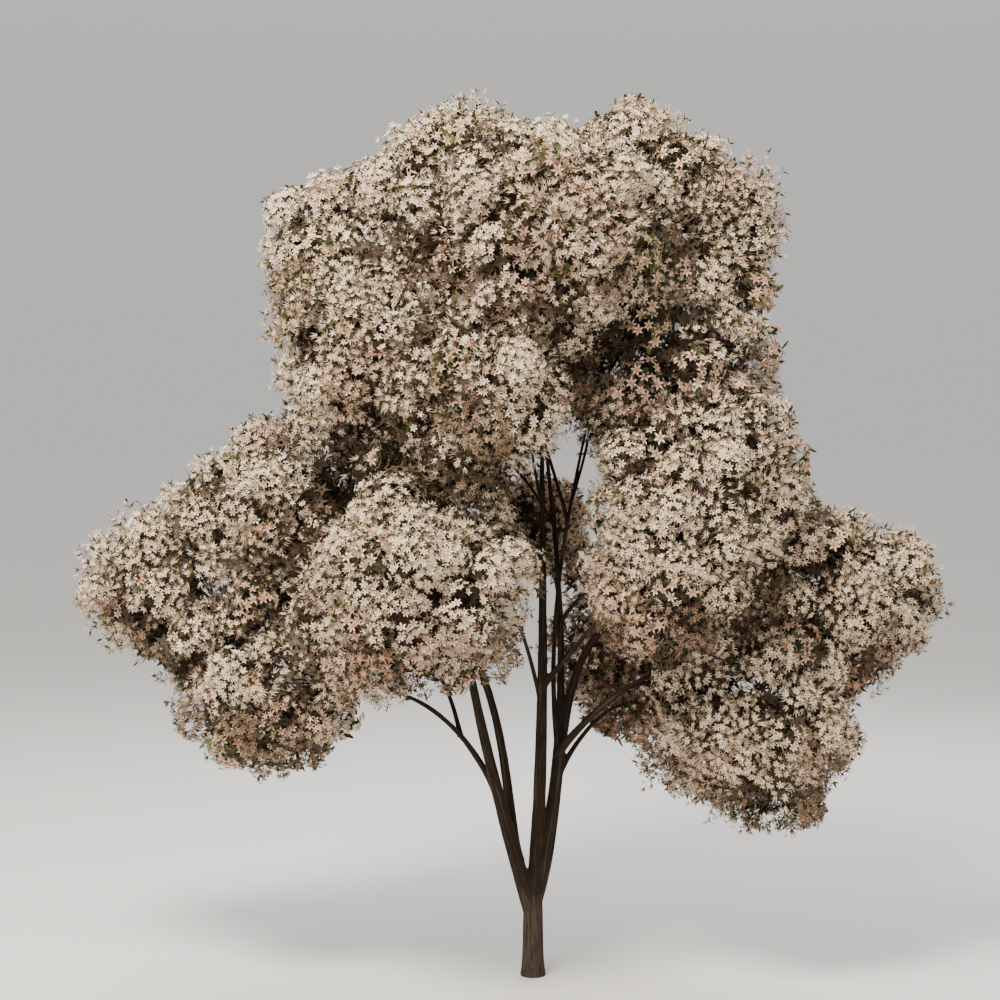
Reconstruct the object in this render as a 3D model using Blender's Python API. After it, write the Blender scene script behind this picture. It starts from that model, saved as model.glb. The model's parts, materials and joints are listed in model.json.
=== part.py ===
"""A flowering cherry tree, six metres tall, rooted in the ground.

Metres, +Z up, with the origin on the flat cut under the trunk. Every limb is one tapering
solid that springs from its parent, and every mass of blossom is one solid that keeps to its
own cell of the crown: a core carried by one stem, with sprays of blossom and leaves on it.
"""

import math
from dataclasses import dataclass

import bmesh
import bpy
import numpy as np
from mathutils import Vector

# Driving sizes of the whole tree
TREE_SEED = 1905
SEAT_GAP = 0.0003          # clearance between two solids that meet
LIMB_OVERRUN = 0.0003      # how far a limb's cutter runs past its tip
BASE_OVERRUN = 0.01        # how far the trunk's cutter runs past the flat cut
LIMB_TAPER = 0.8           # power of the share of its length by which a limb thins
SMOOTH_ANGLE = 35.0        # degrees between two faces past which their edge is sharp

# Trunk: heights and radii from the flat cut to the fork
TRUNK_HEIGHT = 0.60
TRUNK_FOOT_RADIUS = 0.089
TRUNK_WAIST_RADIUS = 0.0665
TRUNK_FLARE_HEIGHT = 0.10
TRUNK_LEAN_IN = 0.006      # how much the trunk thins from foot to fork, apart from the flare
TRUNK_LEVELS = (0.0, 0.035, 0.08, 0.15, 0.28, 0.42, 0.52, 0.575, TRUNK_HEIGHT)
TRUNK_DOME = (0.86, 0.52)  # radii of the last two levels, as shares of the trunk's
TRUNK_SIDES = 16

# Blossom masses
CLUMPS = 15                # rounded clumps that make a mass lumpy
CLUMP_OFFSET = 0.56        # place of a clump's centre, as a share of the mass radius
CLUMP_RADIUS = (0.43, 0.52)
CLUMP_STRAY = 0.12         # how far a clump strays from an even spread
LEAST_LUMP = 0.8           # the reach between clumps, as a share of the mass radius
NEIGHBOUR_SPAN = 1.4       # two masses are neighbours within this many sums of their radii
SWELL_SPAN = (0.6, 1.5)    # where the crown's skin is sought, in mass radii
SWELL_STEPS = 14           # halvings of that span
CROWN_BLEND = 0.15         # width over which neighbouring masses swell into one another
CORE_POINTS = 66           # corners of a core
CORE_SHARE = 0.89          # core radius as a share of the reach
CELL_MARGIN = 0.006        # how far a mass stays from the plane it shares with a neighbour
ENTRY_STANDOFF = 0.02      # a bough's tip stands this far outside the core
ENTRY_MARGIN = 0.04        # and at least this far inside the wall of the cell
STEM_SINK = 0.035          # length of the stem inside the bough, removed when it is seated
STEM_LEAD = (0.02, 0.03)   # how far the stem keeps the bough's heading
STEM_SHARES = (0.15, 0.62) # where it turns and where it ends, on the way to the centre
STEM_RADII = (0.90, 0.92, 0.90, 0.70)  # as shares of the bough's tip
STEM_SIDES = 6

# Sprays standing out of a core
SPRAY_TRIES = 44           # directions tried all round a mass
SPRAY_LIMIT = 18           # most sprays that a mass carries
STAR_EVERY = 3             # one spray in three is an open blossom, the others are leaves
STAR_RADIUS = 0.165
STAR_NOTCH = 0.50          # radius between two petals, as a share of the petal's
STAR_NECK = 0.80           # where the twig meets the petals, as a share of its length
STAR_RIM = 0.92            # where the petals part
STAR_CUP = 0.22            # how far the petals' tips stand forward, as a share of the radius
STAR_SINK = (0.10, 0.03)   # depth of its root in the core: a share of the mass radius, and metres
STAR_LEAN = 0.12           # how far its twig strays from straight out
PETALS = 5
TWIG_RADIUS = 0.011
LEAF_LENGTH = 0.30
LEAF_WIDTH = 0.125
LEAF_THICKNESS = 0.016
LEAF_SHOULDER = 0.58       # place of a leaf's widest point, as a share of its length
LEAF_SINK = 0.80           # share of a leaf inside the reach
LEAF_LEAN = 0.36
LIMB_CLEARANCE = 0.012     # a spray that comes nearer than this to a limb is skipped
SPRAY_SEED = 50            # added to a mass's number for the draws of its sprays
CUT_REACH = 1.1            # limbs this many radii from a mass's centre may cut it
BOX_MARGIN = 0.02


@dataclass(frozen=True)
class Limb:
    """One tapering limb: a Bezier centreline from a point on its parent to its tip."""

    name: str
    parent: str
    leaves_at: float
    controls: tuple
    foot_radius: float
    tip_radius: float
    sides: int = 6
    rings: int = 6


@dataclass(frozen=True)
class Mass:
    """One rounded mass of blossom, carried by a stem at the tip of its bough."""

    name: str
    bough: str
    centre: tuple
    radius: float


# A limb that springs from the trunk starts on the trunk's own axis.
LIMBS = (
    Limb("leader_centre", "trunk", 0.72, ((0.095, 0.0, 1.75), (0.06, -0.02, 3.0), (0.07, -0.34, 4.50)),
         0.060, 0.009, 10, 11),
    Limb("leader_left", "trunk", 0.70, ((-0.28, -0.05, 1.30), (-0.46, -0.42, 2.26)), 0.062, 0.026, 10, 8),
    Limb("leader_back", "trunk", 0.74, ((0.22, 0.07, 1.50), (0.30, 0.14, 2.30), (0.02, 0.68, 4.50)),
         0.050, 0.010, 9, 11),
    Limb("leader_right", "trunk", 0.76, ((0.30, 0.16, 1.20), (0.02, 0.20, 2.62), (1.20, 0.03, 2.50)),
         0.046, 0.020, 9, 10),
    Limb("leader_left_rear", "leader_left", 0.20, ((-0.235, 0.06, 1.60), (-0.18, 0.14, 2.50), (-1.18, 0.10, 2.84)),
         0.040, 0.018, 9, 9),
    Limb("leader_slender", "leader_back", 0.36, ((0.09, 0.05, 2.20), (0.14, 0.02, 3.20), (0.71, 0.20, 5.02)),
         0.022, 0.009, 7, 10),
    Limb("bough_left", "leader_left", 0.44, ((-0.54, -0.10, 1.97), (-1.30, -0.12, 2.00)), 0.026, 0.012, 7, 7),
    Limb("bough_left_up", "bough_left", 0.36, ((-0.56, 0.08, 1.98), (-0.82, 0.50, 2.26)), 0.017, 0.011),
    Limb("bough_left_far", "bough_left", 0.72, ((-1.70, 0.10, 2.30), (-2.22, 0.10, 2.54)), 0.012, 0.009),
    Limb("bough_right", "leader_back", 0.345, ((0.50, -0.22, 1.99), (1.06, -0.12, 1.96)), 0.029, 0.016, 7, 7),
    Limb("bough_right_far", "bough_right", 0.72, ((1.56, 0.18, 2.14), (2.22, 0.14, 2.54)), 0.014, 0.009),
    Limb("bough_right_rear", "leader_right", 0.34, ((0.40, 0.20, 1.78), (0.68, 0.50, 1.93)), 0.021, 0.013),
    Limb("branch_mid_left", "leader_centre", 0.36, ((-0.02, -0.06, 2.25), (-0.17, -0.27, 2.62)), 0.017, 0.010),
    Limb("branch_mid_right", "leader_centre", 0.40, ((0.27, -0.08, 2.24), (0.42, -0.42, 2.50)), 0.024, 0.014),
    Limb("branch_right_up", "leader_back", 0.60, ((0.35, 0.04, 2.68), (0.76, -0.20, 2.96)), 0.015, 0.010),
    Limb("bough_back_low", "leader_back", 0.52, ((0.24, 0.62, 2.34), (0.17, 1.17, 2.72)), 0.014, 0.009),
    Limb("slender_left", "leader_slender", 0.58, ((0.00, 0.04, 3.95), (-0.42, 0.10, 5.06)), 0.013, 0.008),
    Limb("bough_mid_centre", "leader_centre", 0.72, ((-0.01, -0.30, 3.52), (-0.10, -0.57, 3.74)), 0.012, 0.008),
    Limb("bough_mid_left", "slender_left", 0.24, ((-0.30, -0.10, 3.84), (-0.66, -0.29, 4.00)), 0.010, 0.008),
    Limb("bough_upper_left", "slender_left", 0.50, ((-0.48, 0.04, 4.40), (-0.82, 0.00, 4.64)), 0.010, 0.008),
    Limb("bough_back_left", "leader_back", 0.76, ((-0.12, 0.44, 3.58), (-0.42, 0.62, 3.73)), 0.012, 0.009),
    Limb("bough_mid_right", "leader_slender", 0.62, ((0.38, 0.10, 3.62), (0.52, 0.12, 3.82)), 0.011, 0.009),
    Limb("bough_right_shoulder", "leader_slender", 0.80, ((0.74, 0.02, 4.50), (1.04, -0.02, 4.81)), 0.010, 0.008),
)

MASSES = (
    Mass("mass_top_left", "slender_left", (-0.56, 0.10, 5.43), 0.60),
    Mass("mass_top_front", "leader_centre", (0.12, -0.60, 5.01), 0.74),
    Mass("mass_top_right", "leader_slender", (0.73, 0.20, 5.45), 0.56),
    Mass("mass_right_shoulder", "bough_right_shoulder", (1.21, -0.05, 5.08), 0.53),
    Mass("mass_upper_left", "bough_upper_left", (-1.32, 0.00, 4.90), 0.58),
    Mass("mass_mid_left", "bough_mid_left", (-1.09, -0.48, 4.21), 0.63),
    Mass("mass_mid_centre", "bough_mid_centre", (-0.31, -0.80, 3.98), 0.58),
    Mass("mass_mid_right", "bough_mid_right", (0.88, 0.10, 4.16), 0.78),
    Mass("mass_back_top", "leader_back", (0.13, 1.00, 5.06), 0.96),
    Mass("mass_back_left", "bough_back_left", (-0.64, 0.88, 4.16), 0.83),
    Mass("mass_left_front", "leader_left", (-0.76, -0.75, 2.69), 0.78),
    Mass("mass_left_shoulder", "leader_left_rear", (-1.79, 0.10, 3.26), 0.59),
    Mass("mass_left_tip", "bough_left_far", (-2.53, 0.10, 2.68), 0.62),
    Mass("mass_left_low", "bough_left", (-1.78, -0.15, 1.97), 0.63),
    Mass("mass_left_back", "bough_left_up", (-1.18, 0.95, 2.60), 0.81),
    Mass("mass_right_top", "branch_right_up", (1.16, -0.45, 3.31), 0.70),
    Mass("mass_right_front", "branch_mid_right", (0.84, -0.75, 2.78), 0.57),
    Mass("mass_right_centre", "leader_right", (1.75, 0.00, 2.57), 0.72),
    Mass("mass_right_tip", "bough_right_far", (2.32, 0.15, 2.63), 0.54),
    Mass("mass_right_low", "bough_right", (1.47, -0.10, 1.73), 0.78),
    Mass("mass_right_back", "bough_right_rear", (0.78, 0.90, 2.17), 0.68),
    Mass("mass_back_low", "bough_back_low", (0.08, 1.50, 3.04), 0.41),
)

CARRIED = {mass.bough: mass for mass in MASSES}
CENTRES = np.array([mass.centre for mass in MASSES])
RADII = np.array([mass.radius for mass in MASSES])

BARK = dict(colour=(0.085, 0.062, 0.045, 1.0), roughness=0.85)
BLOSSOM = dict(colour=(0.80, 0.70, 0.66, 1.0), roughness=0.60)


def clear_scene():
    """Remove whatever the file holds."""
    for thing in list(bpy.data.objects):
        bpy.data.objects.remove(thing, do_unlink=True)


def material(name, colour, roughness):
    """A plain Principled finish."""
    finish = bpy.data.materials.new(name)
    finish.use_nodes = True
    shader = finish.node_tree.nodes["Principled BSDF"]
    shader.inputs["Base Color"].default_value = colour
    shader.inputs["Roughness"].default_value = roughness
    shader.inputs["Metallic"].default_value = 0.0
    return finish


def object_from(name, shape):
    """Turn a bmesh into an object of its own."""
    mesh = bpy.data.meshes.new(name)
    bmesh.ops.recalc_face_normals(shape, faces=shape.faces)
    shape.to_mesh(mesh)
    shape.free()
    thing = bpy.data.objects.new(name, mesh)
    bpy.context.collection.objects.link(thing)
    return thing


# ---------------------------------------------------------------- limbs

def bezier(points, share):
    """A point on the Bezier curve of any degree, by repeated blending."""
    points = np.asarray(points, dtype=float)
    while len(points) > 1:
        points = points[:-1] * (1.0 - share) + points[1:] * share
    return points[0]


def trunk_radius(height):
    """The trunk's radius: a root flare that dies out over a trunk that thins a little."""
    flare = TRUNK_FOOT_RADIUS - TRUNK_WAIST_RADIUS - TRUNK_LEAN_IN
    lean_in = TRUNK_LEAN_IN * (1.0 - height / TRUNK_HEIGHT)
    return TRUNK_WAIST_RADIUS + lean_in + flare * math.exp(-height / TRUNK_FLARE_HEIGHT)


def centreline(limb, lines, crown):
    """The limb's centreline and radius at even shares of its length."""
    if limb.parent == "trunk":
        foot = np.array((0.0, 0.0, limb.leaves_at * TRUNK_HEIGHT))
    else:
        parent_points = lines[limb.parent][0]
        place = limb.leaves_at * (len(parent_points) - 1)
        low = int(place)
        foot = parent_points[low] + (parent_points[low + 1] - parent_points[low]) * (place - low)
    controls = [foot, *limb.controls]
    if limb.name in CARRIED:
        controls[-1] = crown.entry(CARRIED[limb.name], np.array(limb.controls[-1]))
    shares = np.linspace(0.0, 1.0, limb.rings + 1)
    points = np.array([bezier(controls, share) for share in shares])
    radii = limb.foot_radius + (limb.tip_radius - limb.foot_radius) * shares ** LIMB_TAPER
    return points, radii


def tube(points, radii, sides, extra=0.0, overrun=0.0):
    """A closed tapering tube: a circle carried along the centreline and extruded ring by ring."""
    shape = bmesh.new()
    points = np.array(points, dtype=float)
    last = points[-1] - points[-2]
    points[-1] = points[-1] + last / np.linalg.norm(last) * overrun
    heading = Vector(points[1] - points[0]).normalized()
    side = heading.orthogonal().normalized()
    ring = None
    for index, point in enumerate(points):
        before = points[max(index - 1, 0)]
        after = points[min(index + 1, len(points) - 1)]
        turn = Vector(after - before).normalized()
        side = (heading.rotation_difference(turn) @ side).normalized()
        heading = turn
        across = heading.cross(side)
        radius = radii[index] + extra
        corners = []
        for step in range(sides):
            angle = math.tau * step / sides
            offset = side * math.cos(angle) * radius + across * math.sin(angle) * radius
            corners.append(shape.verts.new(Vector(point) + offset))
        if ring is None:
            shape.faces.new(corners[::-1])
        else:
            for step in range(sides):
                after_step = (step + 1) % sides
                shape.faces.new((ring[step], ring[after_step], corners[after_step], corners[step]))
        ring = corners
    shape.faces.new(ring)
    return shape


def trunk_shape(extra=0.0):
    """The trunk from its flat cut to a low dome at the fork."""
    radii = [trunk_radius(height) for height in TRUNK_LEVELS]
    radii[-2:] = (radius * share for radius, share in zip(radii[-2:], TRUNK_DOME))
    points = [(0.0, 0.0, height) for height in TRUNK_LEVELS]
    shape = tube(points, radii, TRUNK_SIDES, extra, extra)
    if extra:
        foot = [vert for vert in shape.verts if vert.co.z < 0.5 * TRUNK_LEVELS[1]]
        bmesh.ops.translate(shape, verts=foot, vec=(0, 0, -BASE_OVERRUN))
    return shape


# ---------------------------------------------------------------- Booleans

def largest_island(mesh):
    """Keep the outer skin of the mesh's largest body: scraps and sealed hollows go."""
    shape = bmesh.new()
    shape.from_mesh(mesh)
    left = set(shape.verts)
    islands = []
    while left:
        seed = left.pop()
        island = [seed]
        stack = [seed]
        while stack:
            for edge in stack.pop().link_edges:
                for vert in edge.verts:
                    if vert in left:
                        left.remove(vert)
                        island.append(vert)
                        stack.append(vert)
        islands.append(island)
    islands.sort(key=lambda island: -(Vector(np.ptp([v.co for v in island], axis=0)).length))
    for island in islands[1:]:
        bmesh.ops.delete(shape, geom=island, context="VERTS")
    bmesh.ops.triangulate(shape, faces=shape.faces)
    shape.to_mesh(mesh)
    shape.free()


def boolean(thing, tools, operation):
    """Apply one Boolean with a collection of tools, then remove the tools."""
    holder = bpy.data.collections.new(thing.name + "_tools")
    bpy.context.scene.collection.children.link(holder)
    for tool in tools:
        bpy.context.collection.objects.unlink(tool)
        holder.objects.link(tool)
    cut = thing.modifiers.new(operation.lower(), "BOOLEAN")
    cut.operation = operation
    cut.operand_type = "COLLECTION"
    cut.collection = holder
    cut.solver = "EXACT"
    bpy.context.view_layer.update()
    solid = bpy.data.meshes.new_from_object(thing.evaluated_get(bpy.context.evaluated_depsgraph_get()))
    thing.modifiers.clear()
    thing.data = solid
    solid.name = thing.name
    for tool in tools:
        bpy.data.objects.remove(tool, do_unlink=True)
    bpy.data.collections.remove(holder)
    largest_island(solid)


# ---------------------------------------------------------------- masses

def even_directions(count, turn=0.0):
    """Directions spread evenly over a sphere, on a golden spiral."""
    steps = np.arange(count) + 0.5
    height = 1.0 - 2.0 * steps / count
    angle = math.pi * (1.0 + math.sqrt(5.0)) * steps + turn
    level = np.sqrt(1.0 - height ** 2)
    return np.column_stack((np.cos(angle) * level, np.sin(angle) * level, height))


class Crown:
    """The cells, clumps and limbs that every mass keeps to."""

    def __init__(self):
        self.lines = {}
        self.planes = {mass.name: self.shared_planes(mass) for mass in MASSES}

    @staticmethod
    def shared_planes(mass):
        """The planes between a mass and each neighbour that its sphere meets."""
        planes = []
        here = np.array(mass.centre)
        for other in MASSES:
            away = np.array(other.centre) - here
            span = np.linalg.norm(away)
            if other is mass or span > (mass.radius + other.radius) * NEIGHBOUR_SPAN:
                continue
            share = (span ** 2 + mass.radius ** 2 - other.radius ** 2) / (2.0 * span)
            planes.append((away / span, share - CELL_MARGIN))
        return planes

    def clumps(self, mass):
        """Seeded centres and radii of the clumps, about the mass's own centre."""
        rng = np.random.default_rng((TREE_SEED, MASSES.index(mass)))
        directions = even_directions(CLUMPS, rng.uniform(0.0, math.tau))
        directions += rng.normal(0.0, CLUMP_STRAY, directions.shape)
        directions /= np.linalg.norm(directions, axis=1)[:, None]
        radii = rng.uniform(*CLUMP_RADIUS, CLUMPS) * mass.radius
        return directions * CLUMP_OFFSET * mass.radius, radii

    def swell(self, mass, direction):
        """How far the blended crown goes from a mass's centre in a direction."""
        near, far = (share * mass.radius for share in SWELL_SPAN)
        for _ in range(SWELL_STEPS):
            middle = 0.5 * (near + far)
            point = np.array(mass.centre) + direction * middle
            depths = np.linalg.norm(CENTRES - point, axis=1) - RADII
            inside = np.exp(-depths / CROWN_BLEND).sum() > 1.0
            near, far = (middle, far) if inside else (near, middle)
        return near

    def reach(self, mass, direction, clumps):
        """How far the mass goes in a direction: the blended crown, made lumpy by its clumps."""
        centres, radii = clumps
        along = centres @ direction
        gap = radii ** 2 - (np.einsum("ij,ij->i", centres, centres) - along ** 2)
        out = along + np.sqrt(np.maximum(gap, 0.0))
        lump = max(np.where(gap > 0.0, out, 0.0).max() / mass.radius, LEAST_LUMP)
        return lump * self.swell(mass, direction)

    def room(self, mass, direction):
        """Distance from the centre to the cell's wall in a direction."""
        room = math.inf
        for normal, distance in self.planes[mass.name]:
            slope = float(normal @ direction)
            if slope > 1e-6:
                room = min(room, distance / slope)
        return room

    def core(self, mass, direction, clumps):
        """Distance from the centre to the core's skin in a direction."""
        return min(CORE_SHARE * self.reach(mass, direction, clumps), self.room(mass, direction))

    def entry(self, mass, towards):
        """Where a bough that comes from a given side ends: just outside the core, inside the cell."""
        direction = towards - np.array(mass.centre)
        direction /= np.linalg.norm(direction)
        distance = min(self.core(mass, direction, self.clumps(mass)) + ENTRY_STANDOFF,
                       self.room(mass, direction) - ENTRY_MARGIN)
        return np.array(mass.centre) + direction * distance

    def holds(self, mass, points):
        """Whether all the points lie in the mass's cell and clear of every limb."""
        local = np.asarray(points) - np.array(mass.centre)
        for normal, distance in self.planes[mass.name]:
            if (local @ normal).max() > distance:
                return False
        for line, radii in self.lines.values():
            for start, end, radius in zip(line[:-1], line[1:], radii):
                run = end - start
                share = np.clip(((points - start) @ run) / (run @ run), 0.0, 1.0)
                gap = np.linalg.norm(points - start - share[:, None] * run, axis=1)
                if gap.min() < radius + LIMB_CLEARANCE:
                    return False
        return True


def core_shape(mass, crown, clumps):
    """The dense heart of the mass: a sphere drawn out to the clumps and held in by the cell."""
    shape = bmesh.new()
    for corner in even_directions(CORE_POINTS):
        shape.verts.new(corner)
    bmesh.ops.convex_hull(shape, input=shape.verts)
    for vert in shape.verts:
        direction = np.array(vert.co.normalized())
        distance = crown.core(mass, direction, clumps)
        vert.co = Vector(np.array(mass.centre) + direction * distance)
    return shape


def frame_about(axis, spin):
    """Two directions square to an axis and to each other."""
    axis = Vector(axis).normalized()
    side = axis.orthogonal().normalized()
    across = axis.cross(side)
    return (side * math.cos(spin) + across * math.sin(spin),
            across * math.cos(spin) - side * math.sin(spin))


def star_points(root, axis, length, size, spin):
    """Corners of a blossom on a three-sided twig: root ring, neck ring, petal rim and middle."""
    side, across = frame_about(axis, spin)
    axis = Vector(axis)

    def ring(distance, radii, lifts):
        corners = []
        for step, (radius, lift) in enumerate(zip(radii, lifts)):
            angle = math.tau * step / len(radii)
            turn = side * math.cos(angle) + across * math.sin(angle)
            corners.append(Vector(root) + axis * (distance + lift) + turn * radius)
        return corners

    foot = ring(0.0, [TWIG_RADIUS] * 3, [0.0] * 3)
    neck = ring(length * STAR_NECK, [TWIG_RADIUS] * 3, [0.0] * 3)
    rim_radii = [size, size * STAR_NOTCH] * PETALS
    rim_lifts = [size * STAR_CUP, 0.0] * PETALS
    rim = ring(length * STAR_RIM, rim_radii, rim_lifts)
    middle = Vector(root) + axis * length
    return foot, neck, rim, middle


def star_shape(foot, neck, rim, middle):
    """Skin the corners of a blossom into one closed shape."""
    shape = bmesh.new()
    foot, neck, rim = ([shape.verts.new(corner) for corner in ring] for ring in (foot, neck, rim))
    middle = shape.verts.new(middle)
    shape.faces.new(foot[::-1])
    for step in range(3):
        after = (step + 1) % 3
        shape.faces.new((foot[step], foot[after], neck[after], neck[step]))
    count = len(rim)
    for step in range(count):
        after = (step + 1) % count
        here = round(step * 3 / count) % 3
        there = round((step + 1) * 3 / count) % 3
        shape.faces.new((neck[here], rim[after], rim[step]))
        if there != here:
            shape.faces.new((neck[here], neck[there], rim[after]))
        shape.faces.new((rim[step], rim[after], middle))
    return shape


def leaf_corners(root, axis, spin):
    """Corners of a leaf: its root, its two edges, its two faces and its point."""
    side, face = frame_about(axis, spin)
    axis = Vector(axis)
    broad = Vector(root) + axis * LEAF_LENGTH * LEAF_SHOULDER
    return [Vector(root),
            broad + side * LEAF_WIDTH * 0.5,
            broad + face * LEAF_THICKNESS * 0.5,
            broad - side * LEAF_WIDTH * 0.5,
            broad - face * LEAF_THICKNESS * 0.5,
            Vector(root) + axis * LEAF_LENGTH]


def leaf_shape(corners):
    """Skin a leaf's six corners with eight faces."""
    shape = bmesh.new()
    corners = [shape.verts.new(corner) for corner in corners]
    root, tip = corners[0], corners[-1]
    girdle = corners[1:-1]
    for step in range(4):
        after = (step + 1) % 4
        shape.faces.new((root, girdle[after], girdle[step]))
        shape.faces.new((tip, girdle[step], girdle[after]))
    return shape


def sprays(mass, crown, clumps):
    """The blossoms and leaves that stand out of the core, skipping any that would not fit."""
    rng = np.random.default_rng((TREE_SEED, SPRAY_SEED + MASSES.index(mass)))
    centre = np.array(mass.centre)
    directions = even_directions(SPRAY_TRIES, rng.uniform(0.0, math.tau))
    order = rng.permutation(SPRAY_TRIES)
    made = []
    for direction in directions[order]:
        lean = rng.normal(0.0, 1.0, 3)
        spin = rng.uniform(0.0, math.tau)
        if len(made) >= SPRAY_LIMIT:
            break
        reach = crown.reach(mass, direction, clumps)
        core = min(CORE_SHARE * reach, crown.room(mass, direction))
        if core < CORE_SHARE * reach - 1e-6:
            continue
        name = f"{mass.name}_spray_{len(made)}"
        if len(made) % STAR_EVERY == 0:
            axis = direction + STAR_LEAN * lean
            axis /= np.linalg.norm(axis)
            sink = STAR_SINK[0] * mass.radius + STAR_SINK[1]
            root = centre + direction * (core - sink)
            foot, neck, rim, middle = star_points(root, axis, reach - core + sink, STAR_RADIUS, spin)
            if crown.holds(mass, np.array(neck + rim + [middle])):
                made.append(object_from(name, star_shape(foot, neck, rim, middle)))
        else:
            axis = direction + LEAF_LEAN * lean
            axis /= np.linalg.norm(axis)
            root = centre + direction * (reach - LEAF_SINK * LEAF_LENGTH)
            corners = leaf_corners(root, axis, spin)
            if crown.holds(mass, np.array(corners)):
                made.append(object_from(name, leaf_shape(corners)))
    return made


def stem_shape(mass, limb_line, limb_radii):
    """The mass's own stem: from inside its bough's tip to the middle of the core."""
    tip = limb_line[-1]
    heading = limb_line[-1] - limb_line[-2]
    heading /= np.linalg.norm(heading)
    centre = np.array(mass.centre)
    turn, end = (tip + (centre - tip) * share for share in STEM_SHARES)
    points = [tip - heading * STEM_SINK, tip + heading * STEM_LEAD[0], turn + heading * STEM_LEAD[1], end]
    radii = [limb_radii[-1] * share for share in STEM_RADII]
    return tube(points, radii, STEM_SIDES)


# ---------------------------------------------------------------- the tree

def near(box, other, reach=BOX_MARGIN):
    """Whether two boxes meet."""
    return bool((box[0] - reach < other[1]).all() and (other[0] - reach < box[1]).all())


def box_of(points, radius):
    """The box round some points with a radius."""
    points = np.asarray(points)
    return points.min(axis=0) - radius, points.max(axis=0) + radius


def limb_cutter(limb, lines):
    """A copy of a limb that is one clearance larger all round."""
    points, radii = lines[limb.name]
    return object_from(limb.name + "_cutter", tube(points, radii, limb.sides, SEAT_GAP, LIMB_OVERRUN))


def build_limbs(lines):
    """The trunk and every limb, each seated on those made before it."""
    trunk = object_from("trunk", trunk_shape())
    trunk.data.materials.append(material("bark_trunk", **BARK))
    largest_island(trunk.data)
    made = []
    for limb in LIMBS:
        points, radii = lines[limb.name]
        thing = object_from(limb.name, tube(points, radii, limb.sides))
        thing.data.materials.append(material("bark_" + limb.name, **BARK))
        box = box_of(points, radii.max())
        cutters = []
        if limb.parent == "trunk":
            cutters.append(object_from("trunk_cutter", trunk_shape(SEAT_GAP)))
        for other in made:
            if near(box, box_of(lines[other.name][0], lines[other.name][1].max()), 0.0):
                cutters.append(limb_cutter(other, lines))
        boolean(thing, cutters, "DIFFERENCE")
        made.append(limb)


def build_masses(lines, crown):
    """Every mass: core, stem and sprays joined, then cut clear of the limbs."""
    for mass in MASSES:
        clumps = crown.clumps(mass)
        thing = object_from(mass.name, core_shape(mass, crown, clumps))
        thing.data.materials.append(material("blossom_" + mass.name, **BLOSSOM))
        stem = object_from(mass.name + "_stem", stem_shape(mass, *lines[mass.bough]))
        boolean(thing, [stem, *sprays(mass, crown, clumps)], "UNION")
        box = box_of([mass.centre], mass.radius * CUT_REACH)
        cutters = []
        for limb in LIMBS:
            points, radii = lines[limb.name]
            if limb.name == mass.bough or near(box, box_of(points, radii.max()), 0.0):
                cutters.append(limb_cutter(limb, lines))
        boolean(thing, cutters, "DIFFERENCE")


def main():
    """Build the whole tree."""
    clear_scene()
    crown = Crown()
    lines = crown.lines
    for limb in LIMBS:
        lines[limb.name] = centreline(limb, lines, crown)
    build_limbs(lines)
    build_masses(lines, crown)
    for thing in bpy.data.objects:
        thing.data.shade_smooth()
        thing.data.set_sharp_from_angle(angle=math.radians(SMOOTH_ANGLE))


main()
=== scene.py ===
"""Looks of a flowering cherry tree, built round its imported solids.

The trunk and limbs get bark with a relief. Every mass of blossom is grown again from its bough's tip by
the rule that shaped its solid, and is carried to fine twigs, leaves and open flowers within the same reach.
Lengths are metres, +Z is up, and the origin is on the flat cut under the trunk.
"""

import json
import logging
import math
from dataclasses import dataclass, field
from enum import Enum
from functools import cache

import bmesh
import bpy
import numpy as np
from mathutils import Matrix, Vector, noise

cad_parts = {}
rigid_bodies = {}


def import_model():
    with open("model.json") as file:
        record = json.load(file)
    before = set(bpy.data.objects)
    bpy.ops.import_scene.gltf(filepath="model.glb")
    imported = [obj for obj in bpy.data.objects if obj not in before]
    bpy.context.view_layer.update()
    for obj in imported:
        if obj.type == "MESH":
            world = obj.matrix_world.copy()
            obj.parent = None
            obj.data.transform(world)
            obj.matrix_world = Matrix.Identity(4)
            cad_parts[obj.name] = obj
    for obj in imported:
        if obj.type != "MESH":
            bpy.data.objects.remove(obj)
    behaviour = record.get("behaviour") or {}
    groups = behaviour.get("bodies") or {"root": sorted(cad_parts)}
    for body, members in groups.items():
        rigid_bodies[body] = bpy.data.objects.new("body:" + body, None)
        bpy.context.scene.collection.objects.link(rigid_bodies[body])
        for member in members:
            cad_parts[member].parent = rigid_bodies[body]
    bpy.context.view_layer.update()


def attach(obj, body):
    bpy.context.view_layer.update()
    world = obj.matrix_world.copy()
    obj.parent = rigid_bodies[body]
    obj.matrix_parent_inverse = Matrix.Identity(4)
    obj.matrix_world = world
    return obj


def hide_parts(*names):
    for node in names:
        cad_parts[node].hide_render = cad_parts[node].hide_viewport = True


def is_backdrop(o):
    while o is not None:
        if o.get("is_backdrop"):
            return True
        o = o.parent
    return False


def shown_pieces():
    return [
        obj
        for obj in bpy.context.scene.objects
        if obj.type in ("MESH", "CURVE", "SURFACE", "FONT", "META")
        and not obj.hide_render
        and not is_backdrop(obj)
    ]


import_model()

LOG = logging.getLogger("cherry_tree")
BODY = "root"
UP = np.array((0.0, 0.0, 1.0))
GOLDEN_TURN = math.pi * (1.0 + math.sqrt(5.0))
TINY = 1e-9  # least length that a vector is divided by
NUDGE = 1e-6  # keeps a slope or a direction from being nothing
STEEP = 0.9  # upward part past which an axis counts as upright
BALL_SKIN = 12.6  # about the skin of a ball one in radius
HEXAGON_WIDTH = 0.866  # from side to side, where it is one from corner to corner
EDGE_FROM = 1e-4  # distance from a leaf's midrib past which a corner is on its edge
FOLIAGE_SEED = 400  # sets the draws of the foliage apart from those of the clumps


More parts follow.
